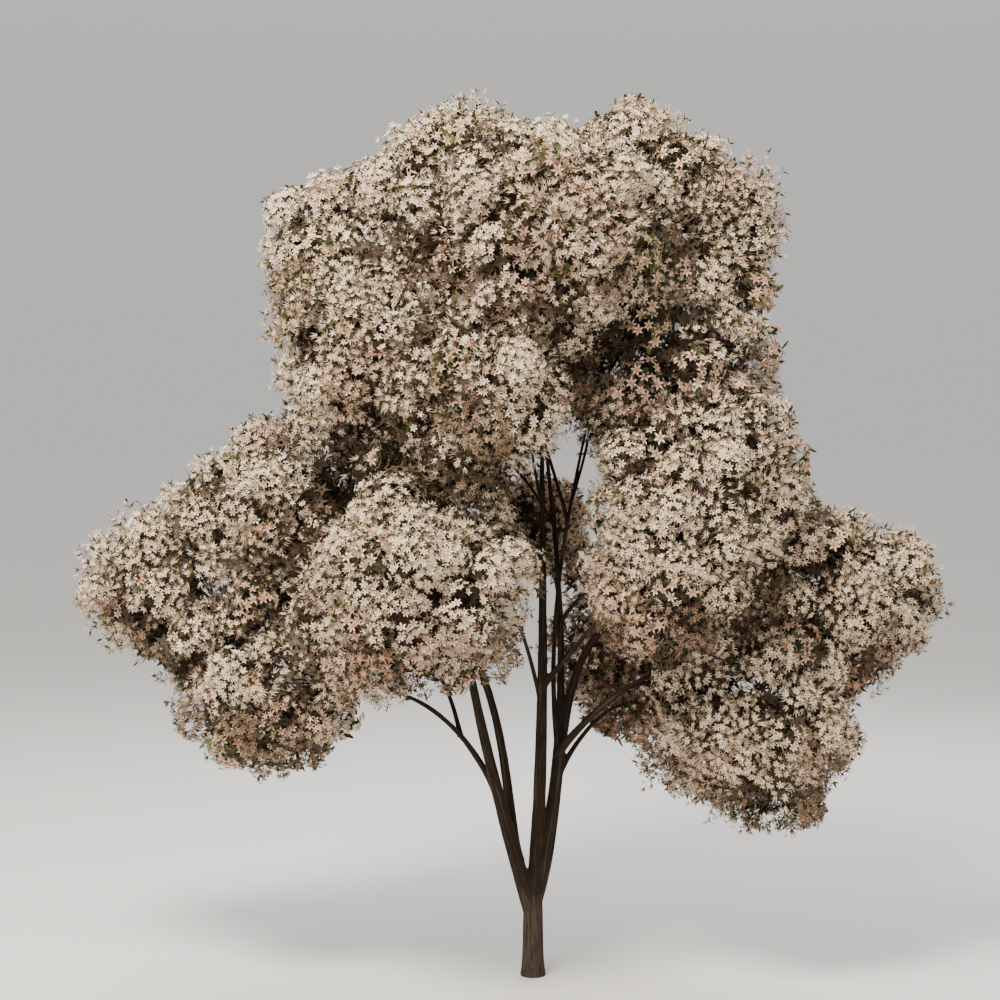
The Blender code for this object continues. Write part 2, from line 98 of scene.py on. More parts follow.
# ------------------------------------------------------------------ the tree's own sizes

@dataclass(frozen=True)
class Limb:
    """One tapering limb: a Bezier centreline from a point on its parent to its tip.

    Attributes:
        name: Its name, as its solid's.
        parent: The limb that it springs from, or the trunk.
        leaves_at: Share of the parent's length where it springs.
        controls: The curve's controls after its foot. Where it carries a mass, the last one only says
            from which side it comes.
        foot_radius: Radius where it springs.
        tip_radius: Radius at its tip.
        rings: Straight runs of its solid.
    """

    name: str
    parent: str
    leaves_at: float
    controls: tuple
    foot_radius: float
    tip_radius: float
    rings: int = 6


@dataclass(frozen=True)
class Mass:
    """One rounded mass of blossom, carried by a stem at the tip of its bough.

    Attributes:
        name: Its name, as its solid's.
        bough: The limb that carries it.
        centre: Its middle.
        radius: Its mean radius.
    """

    name: str
    bough: str
    centre: tuple
    radius: float

    @property
    def middle(self) -> np.ndarray:
        """Its centre, to reckon with."""
        return np.array(self.centre)


LIMBS = (
    Limb("leader_centre", "trunk", 0.72, ((0.095, 0.0, 1.75), (0.06, -0.02, 3.0), (0.07, -0.34, 4.50)),
         0.060, 0.009, 11),
    Limb("leader_left", "trunk", 0.70, ((-0.28, -0.05, 1.30), (-0.46, -0.42, 2.26)), 0.062, 0.026, 8),
    Limb("leader_back", "trunk", 0.74, ((0.22, 0.07, 1.50), (0.30, 0.14, 2.30), (0.02, 0.68, 4.50)),
         0.050, 0.010, 11),
    Limb("leader_right", "trunk", 0.76, ((0.30, 0.16, 1.20), (0.02, 0.20, 2.62), (1.20, 0.03, 2.50)),
         0.046, 0.020, 10),
    Limb("leader_left_rear", "leader_left", 0.20,
         ((-0.235, 0.06, 1.60), (-0.18, 0.14, 2.50), (-1.18, 0.10, 2.84)), 0.040, 0.018, 9),
    Limb("leader_slender", "leader_back", 0.36,
         ((0.09, 0.05, 2.20), (0.14, 0.02, 3.20), (0.71, 0.20, 5.02)), 0.022, 0.009, 10),
    Limb("bough_left", "leader_left", 0.44, ((-0.54, -0.10, 1.97), (-1.30, -0.12, 2.00)), 0.026, 0.012, 7),
    Limb("bough_left_up", "bough_left", 0.36, ((-0.56, 0.08, 1.98), (-0.82, 0.50, 2.26)), 0.017, 0.011),
    Limb("bough_left_far", "bough_left", 0.72, ((-1.70, 0.10, 2.30), (-2.22, 0.10, 2.54)), 0.012, 0.009),
    Limb("bough_right", "leader_back", 0.345, ((0.50, -0.22, 1.99), (1.06, -0.12, 1.96)), 0.029, 0.016, 7),
    Limb("bough_right_far", "bough_right", 0.72, ((1.56, 0.18, 2.14), (2.22, 0.14, 2.54)), 0.014, 0.009),
    Limb("bough_right_rear", "leader_right", 0.34, ((0.40, 0.20, 1.78), (0.68, 0.50, 1.93)), 0.021, 0.013),
    Limb("branch_mid_left", "leader_centre", 0.36, ((-0.02, -0.06, 2.25), (-0.17, -0.27, 2.62)),
         0.017, 0.010),
    Limb("branch_mid_right", "leader_centre", 0.40, ((0.27, -0.08, 2.24), (0.42, -0.42, 2.50)),
         0.024, 0.014),
    Limb("branch_right_up", "leader_back", 0.60, ((0.35, 0.04, 2.68), (0.76, -0.20, 2.96)), 0.015, 0.010),
    Limb("bough_back_low", "leader_back", 0.52, ((0.24, 0.62, 2.34), (0.17, 1.17, 2.72)), 0.014, 0.009),
    Limb("slender_left", "leader_slender", 0.58, ((0.00, 0.04, 3.95), (-0.42, 0.10, 5.06)), 0.013, 0.008),
    Limb("bough_mid_centre", "leader_centre", 0.72, ((-0.01, -0.30, 3.52), (-0.10, -0.57, 3.74)),
         0.012, 0.008),
    Limb("bough_mid_left", "slender_left", 0.24, ((-0.30, -0.10, 3.84), (-0.66, -0.29, 4.00)),
         0.010, 0.008),
    Limb("bough_upper_left", "slender_left", 0.50, ((-0.48, 0.04, 4.40), (-0.82, 0.00, 4.64)),
         0.010, 0.008),
    Limb("bough_back_left", "leader_back", 0.76, ((-0.12, 0.44, 3.58), (-0.42, 0.62, 3.73)), 0.012, 0.009),
    Limb("bough_mid_right", "leader_slender", 0.62, ((0.38, 0.10, 3.62), (0.52, 0.12, 3.82)), 0.011, 0.009),
    Limb("bough_right_shoulder", "leader_slender", 0.80, ((0.74, 0.02, 4.50), (1.04, -0.02, 4.81)),
         0.010, 0.008),
)

MASSES = (
    Mass("mass_top_left", "slender_left", (-0.56, 0.10, 5.43), 0.60),
    Mass("mass_top_front", "leader_centre", (0.12, -0.60, 5.01), 0.74),
    Mass("mass_top_right", "leader_slender", (0.73, 0.20, 5.45), 0.56),
    Mass("mass_right_shoulder", "bough_right_shoulder", (1.21, -0.05, 5.08), 0.53),
    Mass("mass_upper_left", "bough_upper_left", (-1.32, 0.00, 4.90), 0.58),
    Mass("mass_mid_left", "bough_mid_left", (-1.09, -0.48, 4.21), 0.63),
    Mass("mass_mid_centre", "bough_mid_centre", (-0.31, -0.80, 3.98), 0.58),
    Mass("mass_mid_right", "bough_mid_right", (0.88, 0.10, 4.16), 0.78),
    Mass("mass_back_top", "leader_back", (0.13, 1.00, 5.06), 0.96),
    Mass("mass_back_left", "bough_back_left", (-0.64, 0.88, 4.16), 0.83),
    Mass("mass_left_front", "leader_left", (-0.76, -0.75, 2.69), 0.78),
    Mass("mass_left_shoulder", "leader_left_rear", (-1.79, 0.10, 3.26), 0.59),
    Mass("mass_left_tip", "bough_left_far", (-2.53, 0.10, 2.68), 0.62),
    Mass("mass_left_low", "bough_left", (-1.78, -0.15, 1.97), 0.63),
    Mass("mass_left_back", "bough_left_up", (-1.18, 0.95, 2.60), 0.81),
    Mass("mass_right_top", "branch_right_up", (1.16, -0.45, 3.31), 0.70),
    Mass("mass_right_front", "branch_mid_right", (0.84, -0.75, 2.78), 0.57),
    Mass("mass_right_centre", "leader_right", (1.75, 0.00, 2.57), 0.72),
    Mass("mass_right_tip", "bough_right_far", (2.32, 0.15, 2.63), 0.54),
    Mass("mass_right_low", "bough_right", (1.47, -0.10, 1.73), 0.78),
    Mass("mass_right_back", "bough_right_rear", (0.78, 0.90, 2.17), 0.68),
    Mass("mass_back_low", "bough_back_low", (0.08, 1.50, 3.04), 0.41),
)

CARRIED = {mass.bough: mass for mass in MASSES}
STOUT = ("leader_centre", "leader_left", "leader_back", "leader_right", "leader_left_rear",
         "leader_slender", "bough_left", "bough_right", "bough_right_rear", "branch_mid_right")


# ------------------------------------------------------------------ small helpers

def unit(vectors: np.ndarray) -> np.ndarray:
    """Vectors scaled to length one, along their last axis."""
    return vectors / np.maximum(np.linalg.norm(vectors, axis=-1, keepdims=True), TINY)


def even_directions(count: int, turn: float = 0.0) -> np.ndarray:
    """Directions spread evenly over a sphere, on a golden spiral.

    Args:
        count: How many directions.
        turn: Turn of the spiral about +Z, in radians.

    Returns:
        Unit vectors, one a row.
    """
    steps = np.arange(count) + 0.5
    height = 1.0 - 2.0 * steps / count
    angle = GOLDEN_TURN * steps + turn
    level = np.sqrt(1.0 - height ** 2)
    return np.column_stack((np.cos(angle) * level, np.sin(angle) * level, height))


def bezier(points: np.ndarray, share: float) -> np.ndarray:
    """A point on the Bezier curve of any degree, by repeated blending.

    Args:
        points: The curve's controls, one a row.
        share: How far along the curve, from zero to one.

    Returns:
        The point there.
    """
    points = np.asarray(points, dtype=float)
    while len(points) > 1:
        points = points[:-1] * (1.0 - share) + points[1:] * share
    return points[0]


def turned(side: np.ndarray, across: np.ndarray, angles: np.ndarray) -> np.ndarray:
    """Directions at some angles from each side direction, towards its across direction.

    Args:
        side: Unit vectors, one a row.
        across: Unit vectors square to those.
        angles: Angles in radians, a row of them for each.

    Returns:
        The directions, shaped (rows, angles, 3).
    """
    return side[:, None] * np.cos(angles)[..., None] + across[:, None] * np.sin(angles)[..., None]


def frames_about(axes: np.ndarray, spin: np.ndarray) -> tuple[np.ndarray, np.ndarray]:
    """Two directions square to each axis and to each other.

    Args:
        axes: Unit vectors, one a row.
        spin: Turn about each axis, in radians.

    Returns:
        The side and across directions.
    """
    steep = np.abs(axes[:, 2:3]) > STEEP
    guide = np.where(steep, np.array((1.0, 0.0, 0.0)), UP)
    side = unit(np.cross(guide, axes))
    across = np.cross(axes, side)
    cosine, sine = np.cos(spin)[:, None], np.sin(spin)[:, None]
    return side * cosine + across * sine, across * cosine - side * sine


def ring_frames(points: np.ndarray) -> tuple[np.ndarray, np.ndarray]:
    """Side and across directions carried along a centreline without a twist.

    Args:
        points: The centreline, one point a row.

    Returns:
        Unit vectors square to the line and to each other at every point: to the side, and across.
    """
    runs = np.gradient(points, axis=0)
    heading = Vector(runs[0]).normalized()
    side = heading.orthogonal().normalized()
    sides, acrosses = [], []
    for run in runs:
        turn = Vector(run).normalized()
        side = (heading.rotation_difference(turn) @ side).normalized()
        heading = turn
        sides.append(side)
        acrosses.append(heading.cross(side))
    return np.array(sides), np.array(acrosses)


def linked(name: str, data: bpy.types.ID) -> bpy.types.Object:
    """A new object at the origin, linked to the scene.

    Args:
        name: The object's name.
        data: Its mesh, curve, light or camera.

    Returns:
        The object.
    """
    thing = bpy.data.objects.new(name, data)
    bpy.context.scene.collection.objects.link(thing)
    return thing


def finished(holder: bpy.types.Object) -> bpy.types.Mesh:
    """The finished mesh of an object, which is then removed.

    Args:
        holder: An object with its modifiers or its bevel still live.

    Returns:
        The mesh that it makes.
    """
    bpy.context.view_layer.update()
    mesh = bpy.data.meshes.new_from_object(holder.evaluated_get(bpy.context.evaluated_depsgraph_get()))
    bpy.data.objects.remove(holder, do_unlink=True)
    return mesh


def corner_values(mesh: bpy.types.Mesh, kind: str) -> np.ndarray:
    """The places ("co") or the normals ("normal") of a mesh's corners, one a row.

    Args:
        mesh: The mesh.
        kind: Which values are read, "co" or "normal".

    Returns:
        The values, one corner a row.
    """
    values = np.empty(3 * len(mesh.vertices), dtype=np.float32)
    mesh.vertices.foreach_get(kind, values)
    return values.reshape(-1, 3)


@dataclass
class Pattern:
    """A small shape that is copied many times.

    Attributes:
        points: Corners, one a row.
        triangles: Corner numbers of each face.
        tints: Finish number of each face.
    """

    points: np.ndarray
    triangles: np.ndarray
    tints: np.ndarray

    @classmethod
    def from_shape(cls, shape: bmesh.types.BMesh) -> "Pattern":
        """Read a triangulated shape, whose faces hold their finish number, and free it.

        Args:
            shape: The shape, with a finish number in the material index of each face.

        Returns:
            The pattern.
        """
        bmesh.ops.triangulate(shape, faces=shape.faces)
        shape.verts.index_update()
        points = np.array([vert.co for vert in shape.verts], dtype=float)
        triangles = np.array([[vert.index for vert in face.verts] for face in shape.faces])
        tints = np.array([face.material_index for face in shape.faces])
        shape.free()
        return cls(points, triangles, tints)

    def placed(self, size: np.ndarray, places: np.ndarray, *axes: np.ndarray) -> np.ndarray:
        """The corners of sized and turned copies.

        Args:
            size: Size of each copy.
            places: Where the origin of each lies.
            *axes: Where its X, Y and Z axes point.

        Returns:
            The corners, shaped (copies, corners, 3).
        """
        local = self.points[None] * size[:, None, None]
        points = places[:, None]
        for number, axis in enumerate(axes):
            points = points + local[..., number:number + 1] * axis[:, None]
        return points


class Joined:
    """Copies of small patterns, gathered into one mesh."""

    def __init__(self) -> None:
        """Start with nothing gathered."""
        self.points: list[np.ndarray] = []
        self.triangles: list[np.ndarray] = []
        self.tints: list[np.ndarray] = []
        self.count = 0

    def add(self, points: np.ndarray, pattern: Pattern, tints: np.ndarray) -> None:
        """Gather placed copies of one pattern.

        Args:
            points: Corners of every copy, shaped (copies, corners, 3).
            pattern: The pattern that was placed.
            tints: Finish number of every face of every copy, shaped (copies, faces).
        """
        copies, corners = points.shape[:2]
        offsets = self.count + np.arange(copies)[:, None, None] * corners
        self.points.append(points.reshape(-1, 3))
        self.triangles.append((pattern.triangles[None] + offsets).reshape(-1, 3))
        self.tints.append(tints.reshape(-1))
        self.count += copies * corners

    def mesh_object(self, name: str, finishes: list[bpy.types.Material], smooth: bool) -> bpy.types.Object:
        """Make one object of all that was gathered.

        Args:
            name: Name of the piece.
            finishes: Materials, in the order of the finish numbers.
            smooth: Whether its faces are shaded smooth.

        Returns:
            The new object, linked to the scene.
        """
        triangles = np.concatenate(self.triangles).astype(np.int32)
        mesh = bpy.data.meshes.new(name)
        mesh.vertices.add(self.count)
        mesh.vertices.foreach_set("co", np.concatenate(self.points).astype(np.float32).ravel())
        mesh.loops.add(triangles.size)
        mesh.loops.foreach_set("vertex_index", triangles.ravel())
        mesh.polygons.add(len(triangles))
        mesh.polygons.foreach_set("loop_start", np.arange(0, triangles.size, 3, dtype=np.int32))
        for finish in finishes:
            mesh.materials.append(finish)
        mesh.polygons.foreach_set("material_index", np.concatenate(self.tints).astype(np.int32))
        mesh.update(calc_edges=True)
        mesh.validate()
        if smooth:
            mesh.shade_smooth()
        else:
            mesh.shade_flat()
        return linked(name, mesh)


def settle(piece: bpy.types.Object, slot: str, *nodes: str) -> None:
    """Seat a finished piece on the tree, in place of its solids.

    Args:
        piece: The finished piece.
        slot: The record's material slot; not used.
        nodes: The solids that it stands for.
    """
    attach(piece, BODY)
    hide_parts(*nodes)
    LOG.info("%s: %d triangles for %s", piece.name, len(piece.data.polygons), ", ".join(nodes))


# ------------------------------------------------------------------ node groups and finishes

class Wiring:
    """A node tree that is being filled in."""

    def __init__(self, tree: bpy.types.NodeTree) -> None:
        """Keep the tree."""
        self.tree = tree

    def node(self, kind: str, **values: object) -> bpy.types.Node:
        """Add a node and set its properties, or its inputs where the name is one of theirs.

        Args:
            kind: Kind of the node, without the words that every kind begins with.
            **values: Its properties and its inputs, with a low line for each space.

        Returns:
            The node.
        """
        made = self.tree.nodes.new("ShaderNode" + kind)
        for name, value in values.items():
            label = name.replace("_", " ")
            if label in made.inputs:
                made.inputs[label].default_value = value
            else:
                setattr(made, name, value)
        return made

    def maths(self, operation: str, place: int, value: float) -> bpy.types.Node:
        """Add a node that reckons, with the number at one of its places given.

        Args:
            operation: What it reckons.
            place: Which of its inputs is given.
            value: The number there.

        Returns:
            The node.
        """
        made = self.node("Math", operation=operation)
        made.inputs[place].default_value = value
        return made

    def blend(self, dark: tuple = (0.0, 0.0, 0.0), light: tuple = (0.0, 0.0, 0.0)) -> bpy.types.Node:
        """Add a mix from one colour to another."""
        return self.node("Mix", data_type="RGBA", A=(*dark, 1.0), B=(*light, 1.0))

    def join(self, *links: tuple) -> None:
        """Join sockets, each link given as a node, its output, the next node and its input."""
        for source, output, target, entry in links:
            self.tree.links.new(source.outputs[output], target.inputs[entry])


def new_group(name: str, inputs: dict, outputs: dict) -> tuple[Wiring, bpy.types.Node, bpy.types.Node]:
    """Start a node group.

    Args:
        name: Name of the group.
        inputs: Kind of socket under the name of each input.
        outputs: The same for each output.

    Returns:
        Its wiring, the node where its inputs enter and the node where its outputs leave.
    """
    group = bpy.data.node_groups.new(name, "ShaderNodeTree")
    for way, sockets in (("INPUT", inputs), ("OUTPUT", outputs)):
        for label, kind in sockets.items():
            group.interface.new_socket(label, in_out=way, socket_type="NodeSocket" + kind)
    return Wiring(group), group.nodes.new("NodeGroupInput"), group.nodes.new("NodeGroupOutput")


@cache
def mottle_group() -> bpy.types.NodeTree:
    """Two tones mingled by a soft cloud pattern.

    Returns:
        The node group, made once.
    """
    inputs = {"Place": "Vector", "Light": "Color", "Dark": "Color", "Scale": "Float", "Contrast": "Float"}
    wiring, entry, leave = new_group("Mottle", inputs, {"Colour": "Color", "Cloud": "Float"})
    cloud = wiring.node("TexNoise", Detail=3.0, Roughness=0.55)
    spread = wiring.maths("SUBTRACT", 1, 0.5)
    widen = wiring.maths("MULTIPLY_ADD", 2, 0.5)
    widen.use_clamp = True
    mix = wiring.blend()
    wiring.join((entry, "Place", cloud, "Vector"), (entry, "Scale", cloud, "Scale"),
                (cloud, "Fac", spread, 0), (spread, 0, widen, 0), (entry, "Contrast", widen, 1),
                (widen, 0, mix, "Factor"), (entry, "Dark", mix, "A"), (entry, "Light", mix, "B"),
                (mix, "Result", leave, "Colour"), (widen, 0, leave, "Cloud"))
    return wiring.tree


@cache
def streak_group() -> bpy.types.NodeTree:
    """Furrows that run along a limb, and a few wider seams.

    Returns:
        The node group, made once.
    """
    wiring, entry, leave = new_group("Streaks", {"Flow": "Vector", "Scale": "Float", "Stretch": "Float"},
                                     {"Furrow": "Float", "Seam": "Float"})
    along = wiring.node("CombineXYZ", X=1.0, Y=1.0)
    squeeze = wiring.node("VectorMath", operation="MULTIPLY")
    furrow = wiring.node("TexNoise", Detail=4.0, Roughness=0.62, Distortion=0.3)
    seam = wiring.node("TexNoise", Detail=1.0, Roughness=0.4)
    third = wiring.maths("MULTIPLY", 1, 0.33)
    ridge = wiring.node("MapRange", interpolation_type="SMOOTHSTEP", From_Min=0.60, From_Max=0.70)
    wiring.join((entry, "Stretch", along, "Z"), (entry, "Flow", squeeze, 0), (along, 0, squeeze, 1),
                (squeeze, 0, furrow, "Vector"), (squeeze, 0, seam, "Vector"),
                (entry, "Scale", furrow, "Scale"), (entry, "Scale", third, 0),
                (third, 0, seam, "Scale"), (seam, "Fac", ridge, "Value"),
                (furrow, "Fac", leave, "Furrow"), (ridge, "Result", leave, "Seam"))
    return wiring.tree


def new_finish(name: str, **values: float) -> tuple[bpy.types.Material, Wiring, bpy.types.Node]:
    """Start a material.

    Args:
        name: Name of the material.
        **values: Values of its shader's sockets.

    Returns:
        The material, its wiring and its shader.
    """
    finish = bpy.data.materials.new(name)
    finish.use_nodes = True
    shader = finish.node_tree.nodes["Principled BSDF"]
    for label, value in values.items():
        shader.inputs[label.replace("_", " ")].default_value = value
    return finish, Wiring(finish.node_tree), shader


@dataclass(frozen=True)
class SoftFinish:
    """A petal's or leaf's finish: two close tones mingled in soft clouds.

    Attributes:
        name: Name of the material.
        light: Linear colour of the lighter tone.
        dark: Linear colour of the darker tone.
        scale: Size of the clouds, in clouds to a metre.
        roughness: Mean roughness.
        sheen: Weight of the soft bloom on the surface.
        relief: Depth of the fine relief, in metres.
        contrast: How sharply the two tones part.
        swing: How far the roughness strays from its mean.
        gloss: Level of its plain gloss.
    """

    name: str
    light: tuple
    dark: tuple
    scale: float = 55.0
    roughness: float = 0.6
    sheen: float = 0.05
    relief: float = 0.0008
    contrast: float = 2.2
    swing: float = 0.1
    gloss: float = 0.25

    def material(self) -> bpy.types.Material:
        """Make the material.

        Returns:
            The new material.
        """
        finish, wiring, shader = new_finish(self.name, Sheen_Weight=self.sheen,
                                            Specular_IOR_Level=self.gloss)
        place = wiring.node("TexCoord")
        mottle = wiring.node("Group", node_tree=mottle_group(), Light=(*self.light, 1.0),
                             Dark=(*self.dark, 1.0), Scale=self.scale, Contrast=self.contrast)
        rough = wiring.node("MapRange", To_Min=self.roughness + self.swing,
                            To_Max=self.roughness - self.swing)
        bump = wiring.node("Bump", Distance=self.relief, Strength=0.6)
        wiring.join((place, "Object", mottle, "Place"), (mottle, "Colour", shader, "Base Color"),
                    (mottle, "Cloud", rough, "Value"), (rough, "Result", shader, "Roughness"),
                    (mottle, "Cloud", bump, "Height"), (bump, "Normal", shader, "Normal"))
        return finish


@dataclass(frozen=True)
class BarkFinish:
    """Bark that is furrowed along every limb, paler and greyer on the trunk; the limbs' darker tones are
    painted shade of the crown.

    Attributes:
        name: Name of the material.
        limb_light: Linear colour of the ridges on a limb, darkened as painted shade of the crown.
        limb_dark: Linear colour of the furrows on a limb, darkened as painted shade of the crown.
        trunk_light: Linear colour of the ridges on the trunk.
        trunk_dark: Linear colour of the furrows on the trunk.
        seam: Linear colour of the pale seams along a limb.
        scale: Furrows to a metre, round a limb.
        stretch: How much slower the pattern runs along a limb.
        relief: Depth of the furrows, in metres.
        gloss: Level of its plain gloss.
    """

    name: str = "bark"
    limb_light: tuple = (0.031, 0.0195, 0.0105)
    limb_dark: tuple = (0.010, 0.0064, 0.0036)
    trunk_light: tuple = (0.070, 0.050, 0.032)
    trunk_dark: tuple = (0.024, 0.0165, 0.0105)
    seam: tuple = (0.056, 0.038, 0.025)
    scale: float = 95.0
    stretch: float = 0.07
    relief: float = 0.0035
    gloss: float = 0.18

    def material(self) -> bpy.types.Material:
        """Make the material. It follows the flow and pale attributes of the mesh; where pale falls off, the
        darker limb tones are painted shade of the crown.

        Returns:
            The new material.
        """
        finish, wiring, shader = new_finish(self.name, Specular_IOR_Level=self.gloss)
        flow = wiring.node("Attribute", attribute_name="flow")
        pale = wiring.node("Attribute", attribute_name="pale")
        streaks = wiring.node("Group", node_tree=streak_group(), Scale=self.scale, Stretch=self.stretch)
        sharpen = wiring.node("MapRange", From_Min=0.36, From_Max=0.64)
        limb = wiring.blend(self.limb_dark, self.limb_light)
        seamed = wiring.blend(light=self.seam)
        trunk = wiring.blend(self.trunk_dark, self.trunk_light)
        # Painted shade: where pale is nothing, the wood takes the darker limb tones.
        whole = wiring.blend()
        rough = wiring.node("MapRange", To_Min=0.92, To_Max=0.72)
        bump = wiring.node("Bump", Distance=self.relief, Strength=0.8)
        wiring.join((flow, "Vector", streaks, "Flow"), (streaks, "Furrow", sharpen, "Value"),
                    (sharpen, "Result", limb, "Factor"), (sharpen, "Result", trunk, "Factor"),
                    (streaks, "Seam", seamed, "Factor"), (limb, "Result", seamed, "A"),
                    (pale, "Fac", whole, "Factor"), (seamed, "Result", whole, "A"),
                    (trunk, "Result", whole, "B"), (whole, "Result", shader, "Base Color"),
                    (sharpen, "Result", rough, "Value"), (rough, "Result", shader, "Roughness"),
                    (streaks, "Furrow", bump, "Height"), (bump, "Normal", shader, "Normal"))
        return finish


class Tint(Enum):
    """Finish numbers on a piece of blossom."""

    WHITE = 0
    CREAM = 1
    BLUSH = 2
    ROSE = 3
    # The next one is the dark petal tone of painted shade on the undersides.
    UNDERSIDE_SHADE = 4
    SHADED = 5
    HEART = 6
    THROAT = 7


class Green(Enum):
    """Finish numbers on a piece of leaves."""

    FRESH = 0
    DEEP = 1
    SHADED = 2


PETAL_FINISHES = (
    SoftFinish("petal_white", (0.80, 0.652, 0.488), (0.70, 0.548, 0.396)),
    SoftFinish("petal_cream", (0.73, 0.580, 0.425), (0.61, 0.464, 0.328)),
    SoftFinish("petal_blush", (0.69, 0.510, 0.385), (0.57, 0.400, 0.285)),
    SoftFinish("petal_rose", (0.60, 0.420, 0.308), (0.46, 0.306, 0.214)),
    # Painted shade: the dark tone of the sprays on the undersides.
    SoftFinish("petal_painted_underside_shade", (0.30, 0.195, 0.120), (0.18, 0.112, 0.066)),
    # Painted shade: near-black petals that close the dark inside of each mass.
    SoftFinish("petal_painted_shade", (0.100, 0.067, 0.040), (0.048, 0.032, 0.018), sheen=0.0),
    SoftFinish("blossom_heart", (0.68, 0.19, 0.09), (0.52, 0.11, 0.05), scale=120.0, roughness=0.5),
    SoftFinish("blossom_throat", (0.70, 0.39, 0.27), (0.62, 0.31, 0.20), scale=90.0),
)
LEAF_FINISHES = (
    SoftFinish("leaf_fresh", (0.092, 0.100, 0.022), (0.056, 0.062, 0.013), roughness=0.5, sheen=0.03),
    SoftFinish("leaf_deep", (0.042, 0.048, 0.011), (0.022, 0.026, 0.006), roughness=0.5, sheen=0.03),
    # Painted shade: dark brown leaves inside each mass.
    SoftFinish("leaf_painted_shade", (0.030, 0.022, 0.010), (0.016, 0.011, 0.005), roughness=0.6, sheen=0.0),
)
TWIG_FINISH = SoftFinish("twig_bark", (0.062, 0.040, 0.025), (0.028, 0.018, 0.011), scale=140.0,
                         roughness=0.8, sheen=0.0, relief=0.0006)


# ------------------------------------------------------------------ the crown's rule

@dataclass(frozen=True)
class Line:
    """A limb's centreline: its Bezier controls, its points and the radius at each."""

    controls: np.ndarray
    points: np.ndarray
    radii: np.ndarray


@dataclass
class Crown:
    """Cells, clumps and limbs of the crown, by the rule that its solids follow.

    Attributes:
        seed: Seed of every random draw.
        trunk_height: Height of the fork.
        clump_count: Rounded clumps in a mass.
        clump_offset: Place of a clump's centre, as a share of the mass's radius.
        clump_radius: Least and greatest clump radius, as shares of the mass's radius.
        clump_wander: How far a clump's direction strays.
        least_lump: Least height of the lumpy skin, as a share of the mass's radius.
        blend: Width over which neighbouring masses swell into one another.
        swell_range: Least and greatest swollen radius, as shares of the mass's radius.
        swell_steps: Halvings in the search for it.
        core_share: Radius of a solid's core, as a share of the reach.
        cell_margin: Distance from a mass to the plane that it shares with a neighbour.
        neighbour_span: How near a neighbour is, in sums of the two radii, to share a plane.
        entry_standoff: Distance from the core to the tip of the bough.
        entry_margin: Least distance from that tip to the wall of the cell.
        taper: Power by which a limb's radius falls along it.
    """

    seed: int = 1905
    trunk_height: float = 0.60
    clump_count: int = 15
    clump_offset: float = 0.56
    clump_radius: tuple = (0.43, 0.52)
    clump_wander: float = 0.12
    least_lump: float = 0.8
    blend: float = 0.15
    swell_range: tuple = (0.6, 1.5)
    swell_steps: int = 14
    core_share: float = 0.89
    cell_margin: float = 0.006
    neighbour_span: float = 1.4
    entry_standoff: float = 0.02
    entry_margin: float = 0.04
    taper: float = 0.8
    lines: dict = field(default_factory=dict)

    def __post_init__(self) -> None:
        """Work out the centreline of every limb."""
        self.centres = np.array([mass.centre for mass in MASSES])
        self.radii = np.array([mass.radius for mass in MASSES])
        for limb in LIMBS:
            self.lines[limb.name] = self.line(limb)

    def planes(self, mass: Mass) -> tuple[np.ndarray, np.ndarray]:
        """The planes between a mass and its neighbours.

        Args:
            mass: The mass whose cell it is.

        Returns:
            Outward normals, and their distances from the mass's centre.
        """
        away = self.centres - mass.middle
        span = np.linalg.norm(away, axis=1)
        close = (span > 0.0) & (span <= (self.radii + mass.radius) * self.neighbour_span)
        away, span, radii = away[close], span[close], self.radii[close]
        share = (span ** 2 + mass.radius ** 2 - radii ** 2) / (2.0 * span)
        return away / span[:, None], share - self.cell_margin

    def clumps(self, mass: Mass) -> tuple[np.ndarray, np.ndarray]:
        """Seeded centres, about the mass's own centre, and radii of its clumps.

        Args:
            mass: The mass.

        Returns:
            Their centres, one a row, and their radii.
        """
        rng = np.random.default_rng((self.seed, MASSES.index(mass)))
        directions = even_directions(self.clump_count, rng.uniform(0.0, math.tau))
        directions += rng.normal(0.0, self.clump_wander, directions.shape)
        radii = rng.uniform(*self.clump_radius, self.clump_count) * mass.radius
        return unit(directions) * self.clump_offset * mass.radius, radii

    def fullness(self, points: np.ndarray) -> np.ndarray:
        """How deep points lie in the blended crown: one on its skin, more inside."""
        depths = np.linalg.norm(points[:, None] - self.centres, axis=2) - self.radii
        return np.exp(-depths / self.blend).sum(axis=1)

    def outward(self, points: np.ndarray) -> np.ndarray:
        """The shortest way out of the blended crown at each point.

        Args:
            points: Places, one a row.

        Returns:
            Unit vectors, one a row.
        """
        away = points[:, None] - self.centres
        spans = np.linalg.norm(away, axis=2)
        weights = np.exp((self.radii - spans) / self.blend) / spans
        return unit((away * weights[..., None]).sum(axis=1))

    def swell(self, mass: Mass, directions: np.ndarray) -> np.ndarray:
        """How far the blended crown goes from a mass's centre in each direction.

        Args:
            mass: The mass.
            directions: Unit vectors from its centre, one a row.

        Returns:
            The distances.
        """
        near, far = (np.full(len(directions), share * mass.radius) for share in self.swell_range)
        for _ in range(self.swell_steps):
            middle = 0.5 * (near + far)
            inside = self.fullness(mass.middle + directions * middle[:, None]) > 1.0
            near = np.where(inside, middle, near)
            far = np.where(inside, far, middle)
        return near

    def reach(self, mass: Mass, directions: np.ndarray) -> tuple[np.ndarray, np.ndarray]:
        """How far a mass goes in each direction.

        Args:
            mass: The mass.
            directions: Unit vectors from its centre, one a row.

        Returns:
            The distance to its lumpy skin, and the number of the clump that carries it there.
        """
        centres, radii = self.clumps(mass)
        along = directions @ centres.T
        gap = radii ** 2 - (np.einsum("ij,ij->i", centres, centres) - along ** 2)
        out = np.where(gap > 0.0, along + np.sqrt(np.maximum(gap, 0.0)), 0.0)
        lump = np.maximum(out.max(axis=1) / mass.radius, self.least_lump)
        return lump * self.swell(mass, directions), along.argmax(axis=1)

